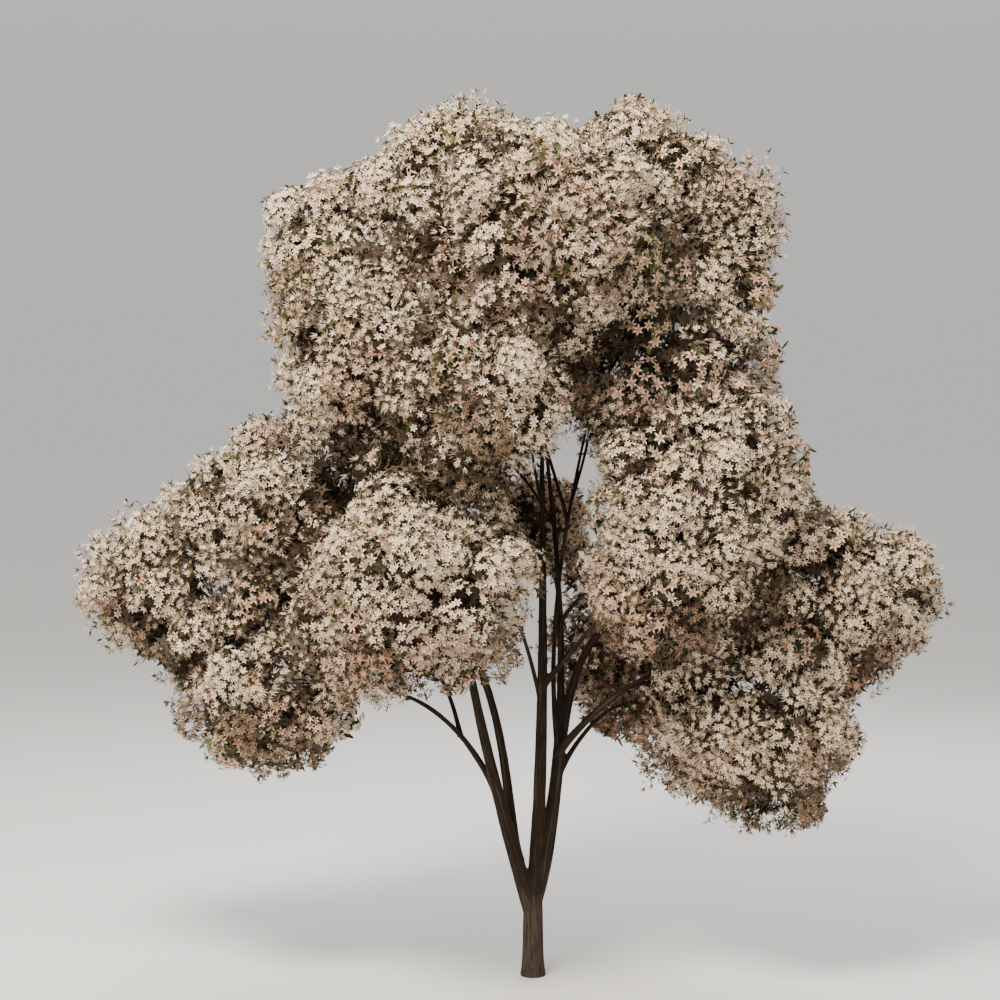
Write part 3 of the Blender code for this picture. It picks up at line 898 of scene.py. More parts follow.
    def room(self, mass: Mass, directions: np.ndarray) -> np.ndarray:
        """Distance from a mass's centre to the wall of its cell in each direction.

        Args:
            mass: The mass.
            directions: Unit vectors from its centre, one a row.

        Returns:
            The distances, without end where no wall stands.
        """
        normals, distances = self.planes(mass)
        slopes = directions @ normals.T
        walls = np.where(slopes > NUDGE, distances / np.maximum(slopes, NUDGE), np.inf)
        return walls.min(axis=1)

    def entry(self, mass: Mass, towards: np.ndarray) -> np.ndarray:
        """Where a bough that comes from a given side ends: just outside the core, in the cell.

        Args:
            mass: The mass that the bough carries.
            towards: A place on the side that it comes from.

        Returns:
            The place of the bough's tip.
        """
        direction = unit(towards - mass.middle)[None]
        room = self.room(mass, direction)[0]
        core = min(self.core_share * self.reach(mass, direction)[0][0], room)
        return mass.middle + direction[0] * min(core + self.entry_standoff, room - self.entry_margin)

    def line(self, limb: Limb) -> Line:
        """The limb's centreline and radius at even shares of its length.

        Args:
            limb: The limb, whose parent has its line already.

        Returns:
            Its centreline.
        """
        if limb.parent == "trunk":
            foot = np.array((0.0, 0.0, limb.leaves_at * self.trunk_height))
        else:
            parent = self.lines[limb.parent].points
            place = limb.leaves_at * (len(parent) - 1)
            low = int(place)
            foot = parent[low] + (parent[low + 1] - parent[low]) * (place - low)
        controls = [foot, *(np.array(control) for control in limb.controls)]
        if limb.name in CARRIED:
            controls[-1] = self.entry(CARRIED[limb.name], controls[-1])
        return self.sampled(limb, np.array(controls), limb.rings)

    def sampled(self, limb: Limb, controls: np.ndarray, steps: int) -> Line:
        """The curve through a limb's controls at a number of even steps.

        Args:
            limb: The limb.
            controls: The curve's controls, one a row.
            steps: How many runs the curve is cut into.

        Returns:
            Its centreline.
        """
        shares = np.linspace(0.0, 1.0, steps + 1)
        points = np.array([bezier(controls, share) for share in shares])
        radii = limb.foot_radius + (limb.tip_radius - limb.foot_radius) * shares ** self.taper
        return Line(controls, points, radii)

    def clear_of_limbs(self, points: np.ndarray, distance: float) -> np.ndarray:
        """Whether each point keeps a distance from the skin of every limb.

        Args:
            points: Places, one a row.
            distance: The distance that they keep.

        Returns:
            True for each point that keeps it.
        """
        clear = np.ones(len(points), dtype=bool)
        for line in self.lines.values():
            for start, end, radius in zip(line.points[:-1], line.points[1:], line.radii):
                run = end - start
                share = np.clip((points - start) @ run / (run @ run), 0.0, 1.0)
                gap = np.linalg.norm(points - start - share[:, None] * run, axis=1)
                clear &= gap > radius + distance
        return clear


# ------------------------------------------------------------------ bark

@dataclass
class Wood:
    """The trunk and limbs, with a relief of furrows.

    Attributes:
        crown: The rule that gives the limbs' centrelines.
        foot_radius: Radius of the trunk on the ground.
        waist_radius: Radius of the trunk under the fork.
        flare_height: Height over which the root flare dies out.
        spread: Slight widening of the trunk from fork to foot.
        dome_share: Share of the trunk's height over which it closes to a dome in the fork.
        dome_depth: Share of its radius that it loses there.
        voxel: Size of the cells that the stout limbs are fused with.
        smoothings: How often the fused skin is smoothed.
        ring_step: Distance between a limb's rings.
        least_rings: Fewest straight runs in a limb.
        furrow_depth: Depth of the furrows on the stout wood.
        slim_depth: Depth of those on the slim wood.
        roundness: Bevel resolution of the stout wood and of the slim wood.
        furrow_scale: Furrows to a metre, round a limb.
        furrow_stretch: How much slower the furrows run along a limb.
        furrow_noise: Roughness, step and count of the octaves of their noise.
        furrow_bias: How much they are cut in rather than raised: by a share, and throughout.
        limb_shift: How far the pattern moves from one limb to the next, across and along it.
        flat_height: Height over the ground that stays flat.
        collar: How much a limb widens where it springs.
        collar_height: Distance over which that widening dies out.
        pale_from: Height where the pale bark of the trunk begins to end and the painted shade of the crown
            begins.
        pale_to: Height where it has ended and the painted shade is full.
        pale_rag: How far a furrow shifts that end.
    """

    crown: Crown
    foot_radius: float = 0.089
    waist_radius: float = 0.0665
    flare_height: float = 0.10
    spread: float = 0.006
    dome_share: float = 0.10
    dome_depth: float = 0.48
    voxel: float = 0.0078
    smoothings: int = 3
    ring_step: float = 0.03
    least_rings: int = 8
    furrow_depth: float = 0.0026
    slim_depth: float = 0.00091
    roundness: tuple = (8, 4)
    furrow_scale: float = 70.0
    furrow_stretch: float = 0.07
    furrow_noise: tuple = (0.9, 2.1, 3)
    furrow_bias: tuple = (0.35, 0.1)
    limb_shift: tuple = (0.7, 0.37)
    flat_height: float = 0.004
    collar: float = 0.35
    collar_height: float = 0.05
    pale_from: float = 0.44
    pale_to: float = 0.60
    pale_rag: float = 0.035

    def trunk_line(self) -> Line:
        """The trunk's centreline and radius, from its flat cut to a low dome in the fork.

        Returns:
            Its centreline.
        """
        height = self.crown.trunk_height
        levels = np.linspace(0.0, height, round(height / self.ring_step) + 1)
        flare = np.exp(-levels / self.flare_height) * (self.foot_radius - self.waist_radius - self.spread)
        radii = self.waist_radius + flare + self.spread * (1.0 - levels / height)
        dome = np.clip(levels / height - (1.0 - self.dome_share), 0.0, self.dome_share) / self.dome_share
        points = np.zeros((len(levels), 3))
        points[:, 2] = levels
        return Line(points[[0, -1]], points, radii * (1.0 - self.dome_depth * dome ** 2))

    def fine_line(self, limb: Limb) -> Line:
        """A limb's curve with a ring at every step, and a collar where it springs from another.

        Args:
            limb: The limb.

        Returns:
            Its centreline.
        """
        coarse = self.crown.lines[limb.name]
        length = np.linalg.norm(np.diff(coarse.points, axis=0), axis=1).sum()
        rings = max(self.least_rings, round(length / self.ring_step))
        line = self.crown.sampled(limb, coarse.controls, rings)
        if limb.parent == "trunk":
            return line
        sunk = 0.5 * self.crown.lines[limb.parent].radii[0]
        along = np.linspace(0.0, length, len(line.points))
        swell = self.collar * np.exp(-np.maximum(along - sunk, 0.0) / self.collar_height)
        return Line(line.controls, line.points, line.radii * (1.0 + swell))

    @staticmethod
    def swept(name: str, lines: list[Line], half_steps: int) -> bpy.types.Mesh:
        """Sweep a round outline along every centreline, with closed ends.

        Args:
            name: Name of the new mesh.
            lines: Centrelines and their radii.
            half_steps: Bevel resolution of the curve, which gives four sides and two more a step.

        Returns:
            One mesh of all the tubes.
        """
        curve = bpy.data.curves.new(name + "_sweep", "CURVE")
        curve.dimensions = "3D"
        curve.bevel_depth = 1.0
        curve.bevel_resolution = half_steps
        curve.use_fill_caps = True
        for line in lines:
            spline = curve.splines.new("POLY")
            spline.points.add(len(line.points) - 1)
            for knot, place, radius in zip(spline.points, line.points, line.radii):
                knot.co = (*place, 1.0)
                knot.radius = radius
        mesh = finished(linked(name + "_sweep", curve))
        mesh.name = name
        return mesh

    def fused(self, mesh: bpy.types.Mesh) -> bpy.types.Mesh:
        """Fuse overlapping tubes into one skin, with soft crotches between them.

        Args:
            mesh: A mesh of closed tubes.

        Returns:
            The skin round them all.
        """
        holder = linked(mesh.name + "_raw", mesh)
        remesh = holder.modifiers.new("fuse", "REMESH")
        remesh.mode = "VOXEL"
        remesh.voxel_size = self.voxel
        skin = finished(holder)
        shape = bmesh.new()
        shape.from_mesh(skin)
        for _ in range(self.smoothings):
            bmesh.ops.smooth_vert(shape, verts=shape.verts, factor=0.5,
                                  use_axis_x=True, use_axis_y=True, use_axis_z=True)
        shape.to_mesh(skin)
        shape.free()
        return skin

    def flow(self, places: np.ndarray, lines: list[Line]) -> np.ndarray:
        """Each corner's place in its own limb: two offsets square to the limb, and one along it.

        Args:
            places: Corners, one a row.
            lines: Centrelines of the limbs that they may lie on.

        Returns:
            The offsets of every corner, in metres.
        """
        best = np.full(len(places), np.inf)
        found = np.zeros((len(places), 3))
        for number, line in enumerate(lines):
            sides, acrosses = ring_frames(line.points)
            shift, travelled = (step * number for step in self.limb_shift)
            for index, (start, end) in enumerate(zip(line.points[:-1], line.points[1:])):
                run = end - start
                length = np.linalg.norm(run)
                share = np.clip((places - start) @ run / length ** 2, 0.0, 1.0)
                offset = places - start - share[:, None] * run
                depth = np.linalg.norm(offset, axis=1) - line.radii[index]
                closer = depth < best
                best[closer] = depth[closer]
                found[closer, 0] = offset[closer] @ sides[index] + shift
                found[closer, 1] = offset[closer] @ acrosses[index]
                found[closer, 2] = travelled + share[closer] * length
                travelled += length
        return found

    def carve(self, mesh: bpy.types.Mesh, lines: list[Line], depth: float) -> None:
        """Press the furrows into a mesh, and store the attributes that its bark follows.

        Args:
            mesh: The wood's mesh.
            lines: Centrelines of its limbs.
            depth: Depth of the furrows.
        """
        places = corner_values(mesh, "co").astype(float)
        normals = corner_values(mesh, "normal")
        flow = self.flow(places, lines)
        stretched = flow * self.furrow_scale * np.array((1.0, 1.0, self.furrow_stretch))
        furrows = np.array([noise.fractal(Vector(place), *self.furrow_noise) for place in stretched])
        share, throughout = self.furrow_bias
        furrows -= share * np.abs(furrows) + throughout
        furrows[places[:, 2] < self.flat_height] = 0.0
        raised = places + normals * (furrows * depth)[:, None]
        mesh.vertices.foreach_set("co", raised.astype(np.float32).ravel())
        # Painted shade: pale is one on the trunk's foot and falls to nothing higher up, where the bark
        # takes the darker limb tones that stand for the crown's shade.
        ragged = places[:, 2] + self.pale_rag * furrows
        pale = 1.0 - np.clip((ragged - self.pale_from) / (self.pale_to - self.pale_from), 0.0, 1.0)
        stored = (("flow", "FLOAT_VECTOR", "vector", flow), ("pale", "FLOAT", "value", pale))
        for name, kind, key, values in stored:
            kept = mesh.attributes.new(name, kind, "POINT")
            kept.data.foreach_set(key, values.astype(np.float32).ravel())
        mesh.update()
        mesh.shade_smooth()

    def build(self) -> None:
        """Make the stout wood and the slim boughs, and seat both on the tree."""
        bark = BarkFinish().material()
        thin = tuple(limb.name for limb in LIMBS if limb.name not in STOUT)
        stout = [self.trunk_line(), *(self.fine_line(limb) for limb in LIMBS if limb.name in STOUT)]
        slim = [self.fine_line(limb) for limb in LIMBS if limb.name in thin]
        stout_sides, slim_sides = self.roundness
        stout_mesh = self.fused(self.swept("stout_wood", stout, stout_sides))
        slim_mesh = self.swept("slim_wood", slim, slim_sides)
        pieces = (("bark_trunk_and_leaders", stout_mesh, stout, self.furrow_depth, ("trunk", *STOUT)),
                  ("bark_boughs", slim_mesh, slim, self.slim_depth, thin))
        for name, mesh, lines, depth, nodes in pieces:
            self.carve(mesh, lines, depth)
            mesh.materials.clear()
            mesh.materials.append(bark)
            settle(linked(name, mesh), "bark", *nodes)


# ------------------------------------------------------------------ flowers, leaves and twigs

@dataclass(frozen=True)
class Bloom:
    """An open flower of separate pointed petals round a small heart.

    Attributes:
        petals: How many petals.
        shoulder: Place of a petal's widest point, as a share of its length.
        width: A petal's width there, as a share of its length.
        cup: How high the shoulders stand, as a share of a petal's length.
        tip: How high the tips stand.
        fold: How far the midrib lies under the shoulders.
        heart: Radius of the heart, or zero for a flower too small to show it.
        heart_lift: Height of the heart's foot.
        throat: Size of a smaller whorl of petals in the middle, or zero for none.
        throat_lift: Height of that whorl.
        foot: Distance from a petal's foot to the middle.
        keen: Whether a petal is one narrow blade that is widest at its foot.
    """

    petals: int
    shoulder: float = 0.55
    width: float = 0.42
    cup: float = 0.24
    tip: float = 0.20
    fold: float = 0.07
    heart: float = 0.0
    heart_lift: float = 0.16
    throat: float = 0.0
    throat_lift: float = 0.10
    foot: float = 0.04
    keen: bool = False

    def whorl(self, shape: bmesh.types.BMesh, size: float, lift: float, turn: float, finish: int) -> None:
        """Add one whorl of petals.

        Args:
            shape: The shape that gets them.
            size: Length of a petal.
            lift: Height of the whorl.
            turn: Turn of the whorl, in radians.
            finish: Finish number of its faces.
        """
        half = 0.5 * self.width * size
        foot = (self.foot * size, 0.0, lift - self.fold * size)
        point = (size, 0.0, lift + self.tip * size)
        right, left = ((self.shoulder * size, side * half, lift + self.cup * size) for side in (-1.0, 1.0))
        corners = [shape.verts.new(corner) for corner in ((right, point, left) if self.keen
                                                          else (foot, right, point, left))]
        faces = [shape.faces.new((corners[0], *pair)) for pair in zip(corners[1:], corners[2:])]
        for face in faces:
            face.material_index = finish
        petal = faces + corners + list({edge for face in faces for edge in face.edges})
        bmesh.ops.rotate(shape, verts=corners, cent=(0, 0, 0), matrix=Matrix.Rotation(turn, 3, "Z"))
        bmesh.ops.spin(shape, geom=petal, cent=(0, 0, 0), axis=(0, 0, 1), use_duplicate=True,
                       angle=math.tau * (self.petals - 1) / self.petals, steps=self.petals - 1)

    def pattern(self) -> Pattern:
        """The flower as a pattern: petals are face tint zero, throat one, heart two.

        Returns:
            The pattern, whose petals are about one unit long.
        """
        shape = bmesh.new()
        self.whorl(shape, 1.0, 0.0, 0.0, 0)
        if self.throat:
            self.whorl(shape, self.throat, self.throat_lift, math.pi / self.petals, 1)
        if self.heart:
            made = bmesh.ops.create_cone(shape, cap_ends=False, segments=5, radius1=self.heart,
                                         radius2=0.0, depth=self.heart)
            bmesh.ops.translate(shape, verts=made["verts"], vec=(0, 0, self.heart_lift + 0.5 * self.heart))
            for face in {face for vert in made["verts"] for face in vert.link_faces}:
                face.material_index = 2
        return Pattern.from_shape(shape)


def leaf_pattern(width: float, fold: float, droop: float) -> Pattern:
    """A pointed oval leaf along +X that faces +Z, folded along its midrib.

    Args:
        width: Width of the leaf, as a share of its length.
        fold: How far the midrib lies under the edges.
        droop: How far the tip hangs.

    Returns:
        The leaf's pattern, one unit long.
    """
    shape = bmesh.new()
    bmesh.ops.create_circle(shape, cap_ends=True, cap_tris=True, segments=6, radius=0.5)
    for vert in shape.verts:
        along = vert.co.x + 0.5
        edge = abs(vert.co.y) > EDGE_FROM
        if edge:
            vert.co.y *= width / HEXAGON_WIDTH
        vert.co.x = along
        vert.co.z = (fold if edge else 0.0) - droop * along ** 2
    return Pattern.from_shape(shape)


def leaflet_pattern(width: float, fold: float) -> Pattern:
    """A small leaf along +X that faces +Z: two faces that meet along the midrib.

    Args:
        width: Width of the leaf, as a share of its length.
        fold: How far the foot lies under the edges.

    Returns:
        The leaf's pattern, one unit long.
    """
    shape = bmesh.new()
    widest, half = 0.45, 0.5 * width
    corners = ((0.0, 0.0, 0.0), (widest, -half, fold), (1.0, 0.0, 0.0), (widest, half, fold))
    foot, right, point, left = (shape.verts.new(corner) for corner in corners)
    shape.faces.new((foot, right, point))
    shape.faces.new((foot, point, left))
    return Pattern.from_shape(shape)


def twig_pattern() -> Pattern:
    """A three-sided twig one unit long and one in radius, open at both ends.

    Returns:
        The twig's pattern, along +Z from the origin.
    """
    shape = bmesh.new()
    bmesh.ops.create_cone(shape, cap_ends=False, segments=3, radius1=1.0, radius2=1.0, depth=1.0)
    bmesh.ops.translate(shape, verts=shape.verts, vec=(0, 0, 0.5))
    return Pattern.from_shape(shape)


SMALL_FIVE = Bloom(5, shoulder=0.60, width=0.50, cup=0.28, tip=0.34).pattern()
SMALL_SIX = Bloom(6, shoulder=0.58, width=0.42, cup=0.20, tip=0.28).pattern()
OPEN_SIX = Bloom(6, shoulder=0.52, width=0.38, cup=0.15, tip=0.10, heart=0.12, throat=0.50).pattern()
TUFT = Bloom(6, shoulder=0.12, width=0.38, cup=0.08, tip=0.62, keen=True).pattern()
LONG_TUFT = Bloom(6, shoulder=0.18, width=0.46, cup=0.20, tip=2.0, keen=True).pattern()
SHADED_STAR = Bloom(5, shoulder=0.12, width=0.60, cup=0.05, tip=0.30, keen=True).pattern()
SMALL = (SMALL_FIVE, SMALL_SIX, TUFT)
LARGE = (OPEN_SIX,)
KEEN = (SMALL_SIX, TUFT, LONG_TUFT)
LEAVES = (leaf_pattern(0.36, 0.05, 0.10), leaf_pattern(0.29, 0.04, 0.20))
LEAFLETS = (leaflet_pattern(0.34, 0.05), leaflet_pattern(0.27, 0.07))
TWIG = twig_pattern()


@dataclass(frozen=True)
class Habit:
    """How the shoots, flowers and leaves of one kind of spray stand.

    Attributes:
        shoots: Shoots that burst from the spray's foot.
        opening: Cosines of the least and greatest angle between a shoot and the spray's axis.
        length: Least and greatest length of a shoot.
        blossoms: Flowers on a shoot.
        begins: Share of the shoot that is bare of flowers.
        spread: How far the lowest and the topmost flowers stand from the shoot.
        size: Least and greatest length of a petal.
        share: Share of the sprays that have this habit.
        outward: How much a flower faces along the shoot rather than away from it.
        shrink: Size of the topmost flowers, as a share of the lowest.
        pairs: Pairs of leaves on a shoot.
        leaf: Least and greatest length of a leaf.
        kinds: Patterns of its flowers.
        leaves: Patterns of its leaves.
    """

    shoots: int
    opening: tuple
    length: tuple
    blossoms: int
    begins: float
    spread: tuple
    size: tuple
    share: float = 0.0
    outward: float = 2.0
    shrink: float = 1.0
    pairs: int = 2
    leaf: tuple = (0.044, 0.066)
    kinds: tuple = SMALL
    leaves: tuple = LEAFLETS


class Spray(Enum):
    """The kinds of spray."""

    DOME = Habit(15, (1.0, -0.05), (0.18, 0.24), 6, 0.66, (0.044, 0.012), (0.028, 0.035), share=0.42,
                 shrink=0.95)
    BOWL = Habit(14, (0.74, -0.05), (0.19, 0.27), 5, 0.55, (0.042, 0.010), (0.026, 0.034), share=0.22,
                 shrink=0.85, kinds=KEEN)
    PLUME = Habit(12, (1.0, 0.35), (0.25, 0.34), 7, 0.42, (0.044, 0.008), (0.026, 0.034), share=0.24,
                  shrink=0.75, kinds=KEEN)
    OPEN = Habit(14, (1.0, 0.10), (0.17, 0.22), 2, 0.84, (0.034, 0.020), (0.038, 0.052), share=0.12,
                 leaf=(0.055, 0.080), kinds=LARGE, leaves=LEAVES)


BOWL_HEART = Habit(4, (1.0, 0.75), (0.07, 0.11), 1, 0.95, (0.010, 0.010), (0.038, 0.052), outward=2.5,
                   leaf=(0.060, 0.085), kinds=LARGE, leaves=LEAVES)
STREAK = Habit(1, (1.0, 1.0), (0.09, 0.14), 12, 0.0, (0.006, 0.006), (0.013, 0.019), outward=4.0,
               pairs=0, kinds=(TUFT,))


@dataclass
class Shoots:
    """Shoots that are about to be dressed, one a row.

    Attributes:
        feet: Where they spring.
        axes: Where they point.
        lengths: How long they are.
        tints: Petal finish of their flowers.
        greens: Leaf finish of their leaves.
    """

    feet: np.ndarray
    axes: np.ndarray
    lengths: np.ndarray
    tints: np.ndarray
    greens: np.ndarray


@dataclass
class Foliage:
    """Twigs, leaves and blossom of one mass, grown on from its bough.

    Attributes:
        crown: The rule that gives the mass's clumps and reach.
        mass: The mass.
        forks: Forks in each clump.
        fork_share: Distance from a clump's middle to its forks, as a share of its radius.
        fork_stray: How far a fork's direction strays.
        fork_girth: Girth of its twigs at foot, bend and end, as shares of the bough's tip.
        bend: How far a bend strays.
        hub_lead: How far the stem goes on along the bough.
        hub_share: Share of the way to the mass's middle where its branchlets part.
        overlap: How far they start inside the bough.
        arch: How high they arch, as a share of the mass's radius.
        branchlet_steps: Straight runs in each.
        branchlet_girth: Their girth at the foot, as a share of the bough's tip, and how much they lose.
        twig_girth: Radius of a spray's twig at its foot.
        shoot_girth: Radius of a shoot at its foot and at its end.
        spray_area: Skin of the mass to each spray, in square metres.
        jitter: How far a spray strays from an even spread, as a share of the distance between two.
        open_skin: Fullness past which the skin is hidden in a neighbour and stays bare.
        open_wall: Share of the reach past which a wall hides nothing.
        wall_overlap: How far sprays may stand past a wall.
        limb_room: Distance that sprays keep from a limb.
        valley_lift: Share of the way to a valley's mouth by which its sprays are lifted.
        stagger: Least and greatest height of a spray over the reach.
        outwards: How much it follows the way out of the crown rather than out of its clump.
        rise: How much it turns up to the light.
        lean: How far its axis strays.
        spray_size: Least and greatest size of a spray.
        burst_step: Least and greatest share of a step at which a shoot's angle is drawn.
        burst_stray: How far shoots stray round a spray, in radians.
        tint_shares: Shares of white, cream and blush sprays.
        tint_slopes: How those shares change where the blossom is rosy.
        rosy_from: Share of the clumps that have no rosy blossom.
        most_rosy: Greatest rosiness of a clump.
        rosy_under: How much rosier the undersides are, as painted shade.
        rosiest: Greatest rosiness of a spray.
        green_shares: Shares of sprays with fresh and with deep green leaves.
        shade: Share of the sprays under the mass that take the dark petal tone of painted shade.
        shade_from: Upward slope of the skin at which its underside begins.
        lit_height: Height over which the undersides get the least painted shade, as if they got the most
            light.
        lit_span: Distance below it over which their painted shade grows full.
        least_dusk: Share of the painted shade that is left over that height.
        flower_stray: How far flowers stray: along the shoot, round it, and in where they face.
        flower_spread: Least and greatest share of the habit's spread.
        flower_lean: Share of the habit's outward facing at a shoot's foot. It is one more at its tip.
        flower_rise: How much flowers turn up to the light.
        leaf_place: Where on a shoot leaves stand.
        leaf_lean: How much they point along the shoot.
        leaf_stray: How far a leaf's heading and its face stray.
        streaks: Share of the sprays beside which a long slender one lies.
        streak_slope: Greatest upward or downward slope of the skin where it lies.
        streak_way: How much it runs level, how much down, and how far that strays.
        streak_length: Its least and greatest length.
        streak_height: How high it lies over the reach, below zero for under it.
        streak_follow: How closely it follows the lumps of the skin.
        streak_runs: Straight runs in it.
        inner_area: Skin of the mass to each shaded flower or leaf inside it.
        inner_stray: How far those stray in direction, in where they face and in where they point.
        inner_rise: How much they turn up to the light.
        inner_reach: Least and greatest share of the reach at which they stand.
        seam_span: How much farther than the reach a neighbour's wall still makes a seam.
        seam_reach: Least and greatest share of the reach at which they stand along a seam.
        wall_reach: Least and greatest share of the way to the wall that they never pass.
        inner_size: Least and greatest length of a shaded petal.
        inner_leaf: Least and greatest length of a shaded leaf.
        inner_leaves: Share of them that are leaves.
    """

    crown: Crown
    mass: Mass
    forks: int = 9
    fork_share: float = 0.52
    fork_stray: float = 0.25
    fork_girth: tuple = (0.30, 0.225, 0.15)
    bend: float = 0.012
    hub_lead: float = 0.06
    hub_share: float = 0.30
    overlap: float = 0.02
    arch: float = 0.10
    branchlet_steps: int = 5
    branchlet_girth: tuple = (0.92, 0.60)
    twig_girth: float = 0.0040
    shoot_girth: tuple = (0.0026, 0.0011)
    spray_area: float = 0.094
    jitter: float = 0.28
    open_skin: float = 7.0
    open_wall: float = 0.93
    wall_overlap: float = 0.03
    limb_room: float = 0.035
    valley_lift: float = 0.75
    stagger: tuple = (-0.055, 0.055)
    outwards: float = 1.3
    rise: float = 0.55
    lean: float = 0.16
    spray_size: tuple = (0.70, 1.15)
    burst_step: tuple = (0.2, 0.8)
    burst_stray: float = 0.25
    tint_shares: tuple = (0.66, 0.27, 0.05)
    tint_slopes: tuple = (-0.45, -0.06, 0.24)
    rosy_from: float = 0.35
    most_rosy: float = 0.6
    rosy_under: float = 0.3
    rosiest: float = 0.9
    green_shares: tuple = (0.30, 0.70)
    shade: float = 0.80
    shade_from: float = 0.24
    lit_height: float = 3.4
    lit_span: float = 1.7
    least_dusk: float = 0.12
    flower_stray: tuple = (0.04, 0.35, 0.25)
    flower_spread: tuple = (0.75, 1.15)
    flower_lean: float = 0.4
    flower_rise: float = 0.15
    leaf_place: tuple = (0.62, 0.98)
    leaf_lean: float = 0.75
    leaf_stray: tuple = (0.2, 0.25)
    streaks: float = 0.15
    streak_slope: float = 0.65
    streak_way: tuple = (0.86, 0.40, 0.10)
    streak_length: tuple = (0.34, 0.54)
    streak_height: float = -0.02
    streak_follow: float = 0.75
    streak_runs: int = 5
    inner_area: float = 0.0040
    inner_stray: tuple = (0.04, 0.5, 0.9)
    inner_rise: float = 0.3
    inner_reach: tuple = (0.50, 0.72)
    seam_span: float = 1.15
    seam_reach: tuple = (0.66, 0.84)
    wall_reach: tuple = (0.90, 1.00)
    inner_size: tuple = (0.054, 0.074)
    inner_leaf: tuple = (0.06, 0.09)
    inner_leaves: float = 0.20

    def __post_init__(self) -> None:
        """Start the mass's own random draws and its three heaps."""
        self.rng = np.random.default_rng((self.crown.seed, FOLIAGE_SEED + MASSES.index(self.mass)))
        self.centre = self.mass.middle
        clump_places, self.clump_radii = self.crown.clumps(self.mass)
        self.clump_centres = self.centre + clump_places
        self.blossom = Joined()
        self.leaves = Joined()
        self.twigs = Joined()

    def spin(self, count: int | tuple) -> np.ndarray:
        """Random turns, in radians."""
        return self.rng.uniform(0.0, math.tau, count)

    def over_mass(self, area: float) -> int:
        """How many things stand on a ball of the mass's size, with a given area to each."""
        return round(4.0 * math.pi * self.mass.radius ** 2 / area)

    # -- twigs

    def add_twigs(self, starts: np.ndarray, ends: np.ndarray, foot: np.ndarray | float,
                  tip: np.ndarray | float) -> None:
        """Add straight twigs.

        Args:
            starts: Where they spring, one a row.
            ends: Where they end.
            foot: Radius where they spring.
            tip: Radius at their ends.
        """
        runs = ends - starts
        side, across = frames_about(unit(runs), np.zeros(len(runs)))
        level = TWIG.points[:, 2]
        foot, tip = (np.broadcast_to(radius, len(runs))[:, None] for radius in (foot, tip))
        radius = foot * (1.0 - level) + tip * level
        points = (starts[:, None] + runs[:, None] * level[:, None]
                  + side[:, None] * (TWIG.points[:, 0] * radius)[..., None]
                  + across[:, None] * (TWIG.points[:, 1] * radius)[..., None])
        self.twigs.add(points, TWIG, np.zeros((len(runs), len(TWIG.triangles))))

    def add_branchlets(self) -> np.ndarray:
        """Grow the stem, a branchlet to every clump and the forks there.

        Returns:
            The places of the forks, shaped (clumps, forks, 3).
        """
        bough = self.crown.lines[self.mass.bough]
        tip, radius = bough.points[-1], bough.radii[-1]
        heading = unit(bough.points[-1] - bough.points[-2])
        hub = tip + heading * self.hub_lead + (self.centre - tip) * self.hub_share
        steps = np.linspace(0.0, 1.0, self.branchlet_steps + 1)
        lift = self.arch * self.mass.radius * UP
        girth, loss = self.branchlet_girth
        for clump in self.clump_centres:
            controls = np.array((tip - heading * self.overlap, hub, 0.5 * (hub + clump) + lift, clump))
            points = np.array([bezier(controls, share) for share in steps])
            radii = radius * (girth - loss * steps)
            self.add_twigs(points[:-1], points[1:], radii[:-1], radii[1:])
        spokes = even_directions(self.forks, self.rng.uniform(0.0, math.tau))
        stray = self.rng.normal(0.0, self.fork_stray, (len(self.clump_centres), self.forks, 3))
        forks = (self.clump_centres[:, None]
                 + unit(spokes[None] + stray) * (self.fork_share * self.clump_radii)[:, None, None])
        starts = np.repeat(self.clump_centres, self.forks, axis=0)
        ends = forks.reshape(-1, 3)
        bends = 0.5 * (starts + ends) + self.rng.normal(0.0, self.bend, ends.shape)
        foot, middle, end = (share * radius for share in self.fork_girth)
        self.add_twigs(starts, bends, foot, middle)
        self.add_twigs(bends, ends, middle, end)
        return forks

    # -- where sprays stand

    def skin(self) -> tuple[np.ndarray, np.ndarray, np.ndarray]:
        """Spread places over the open skin of the mass, and lift those in a valley towards its mouth.

        Returns:
            The places, the way out of the crown at each, and the clump that carries it.
        """
        count = self.over_mass(self.spray_area)
        directions = even_directions(count, self.rng.uniform(0.0, math.tau))
        stray = self.jitter * math.sqrt(BALL_SKIN / count)
        directions = unit(directions + self.rng.normal(0.0, stray, directions.shape))
        reach, clump = self.crown.reach(self.mass, directions)
        room = self.crown.room(self.mass, directions)
        places = self.centre + directions * np.minimum(reach, room + self.wall_overlap)[:, None]
        fullness = self.crown.fullness(places)
        normals = self.crown.outward(places)
        lift = self.valley_lift * self.crown.blend * np.log(np.clip(fullness, 1.0, self.open_skin))
        places += normals * np.where(room < reach, lift, 0.0)[:, None]
        kept = (room > self.open_wall * reach) | (fullness < self.open_skin)
        kept &= self.crown.clear_of_limbs(places, self.limb_room)
        return places[kept], normals[kept], clump[kept]

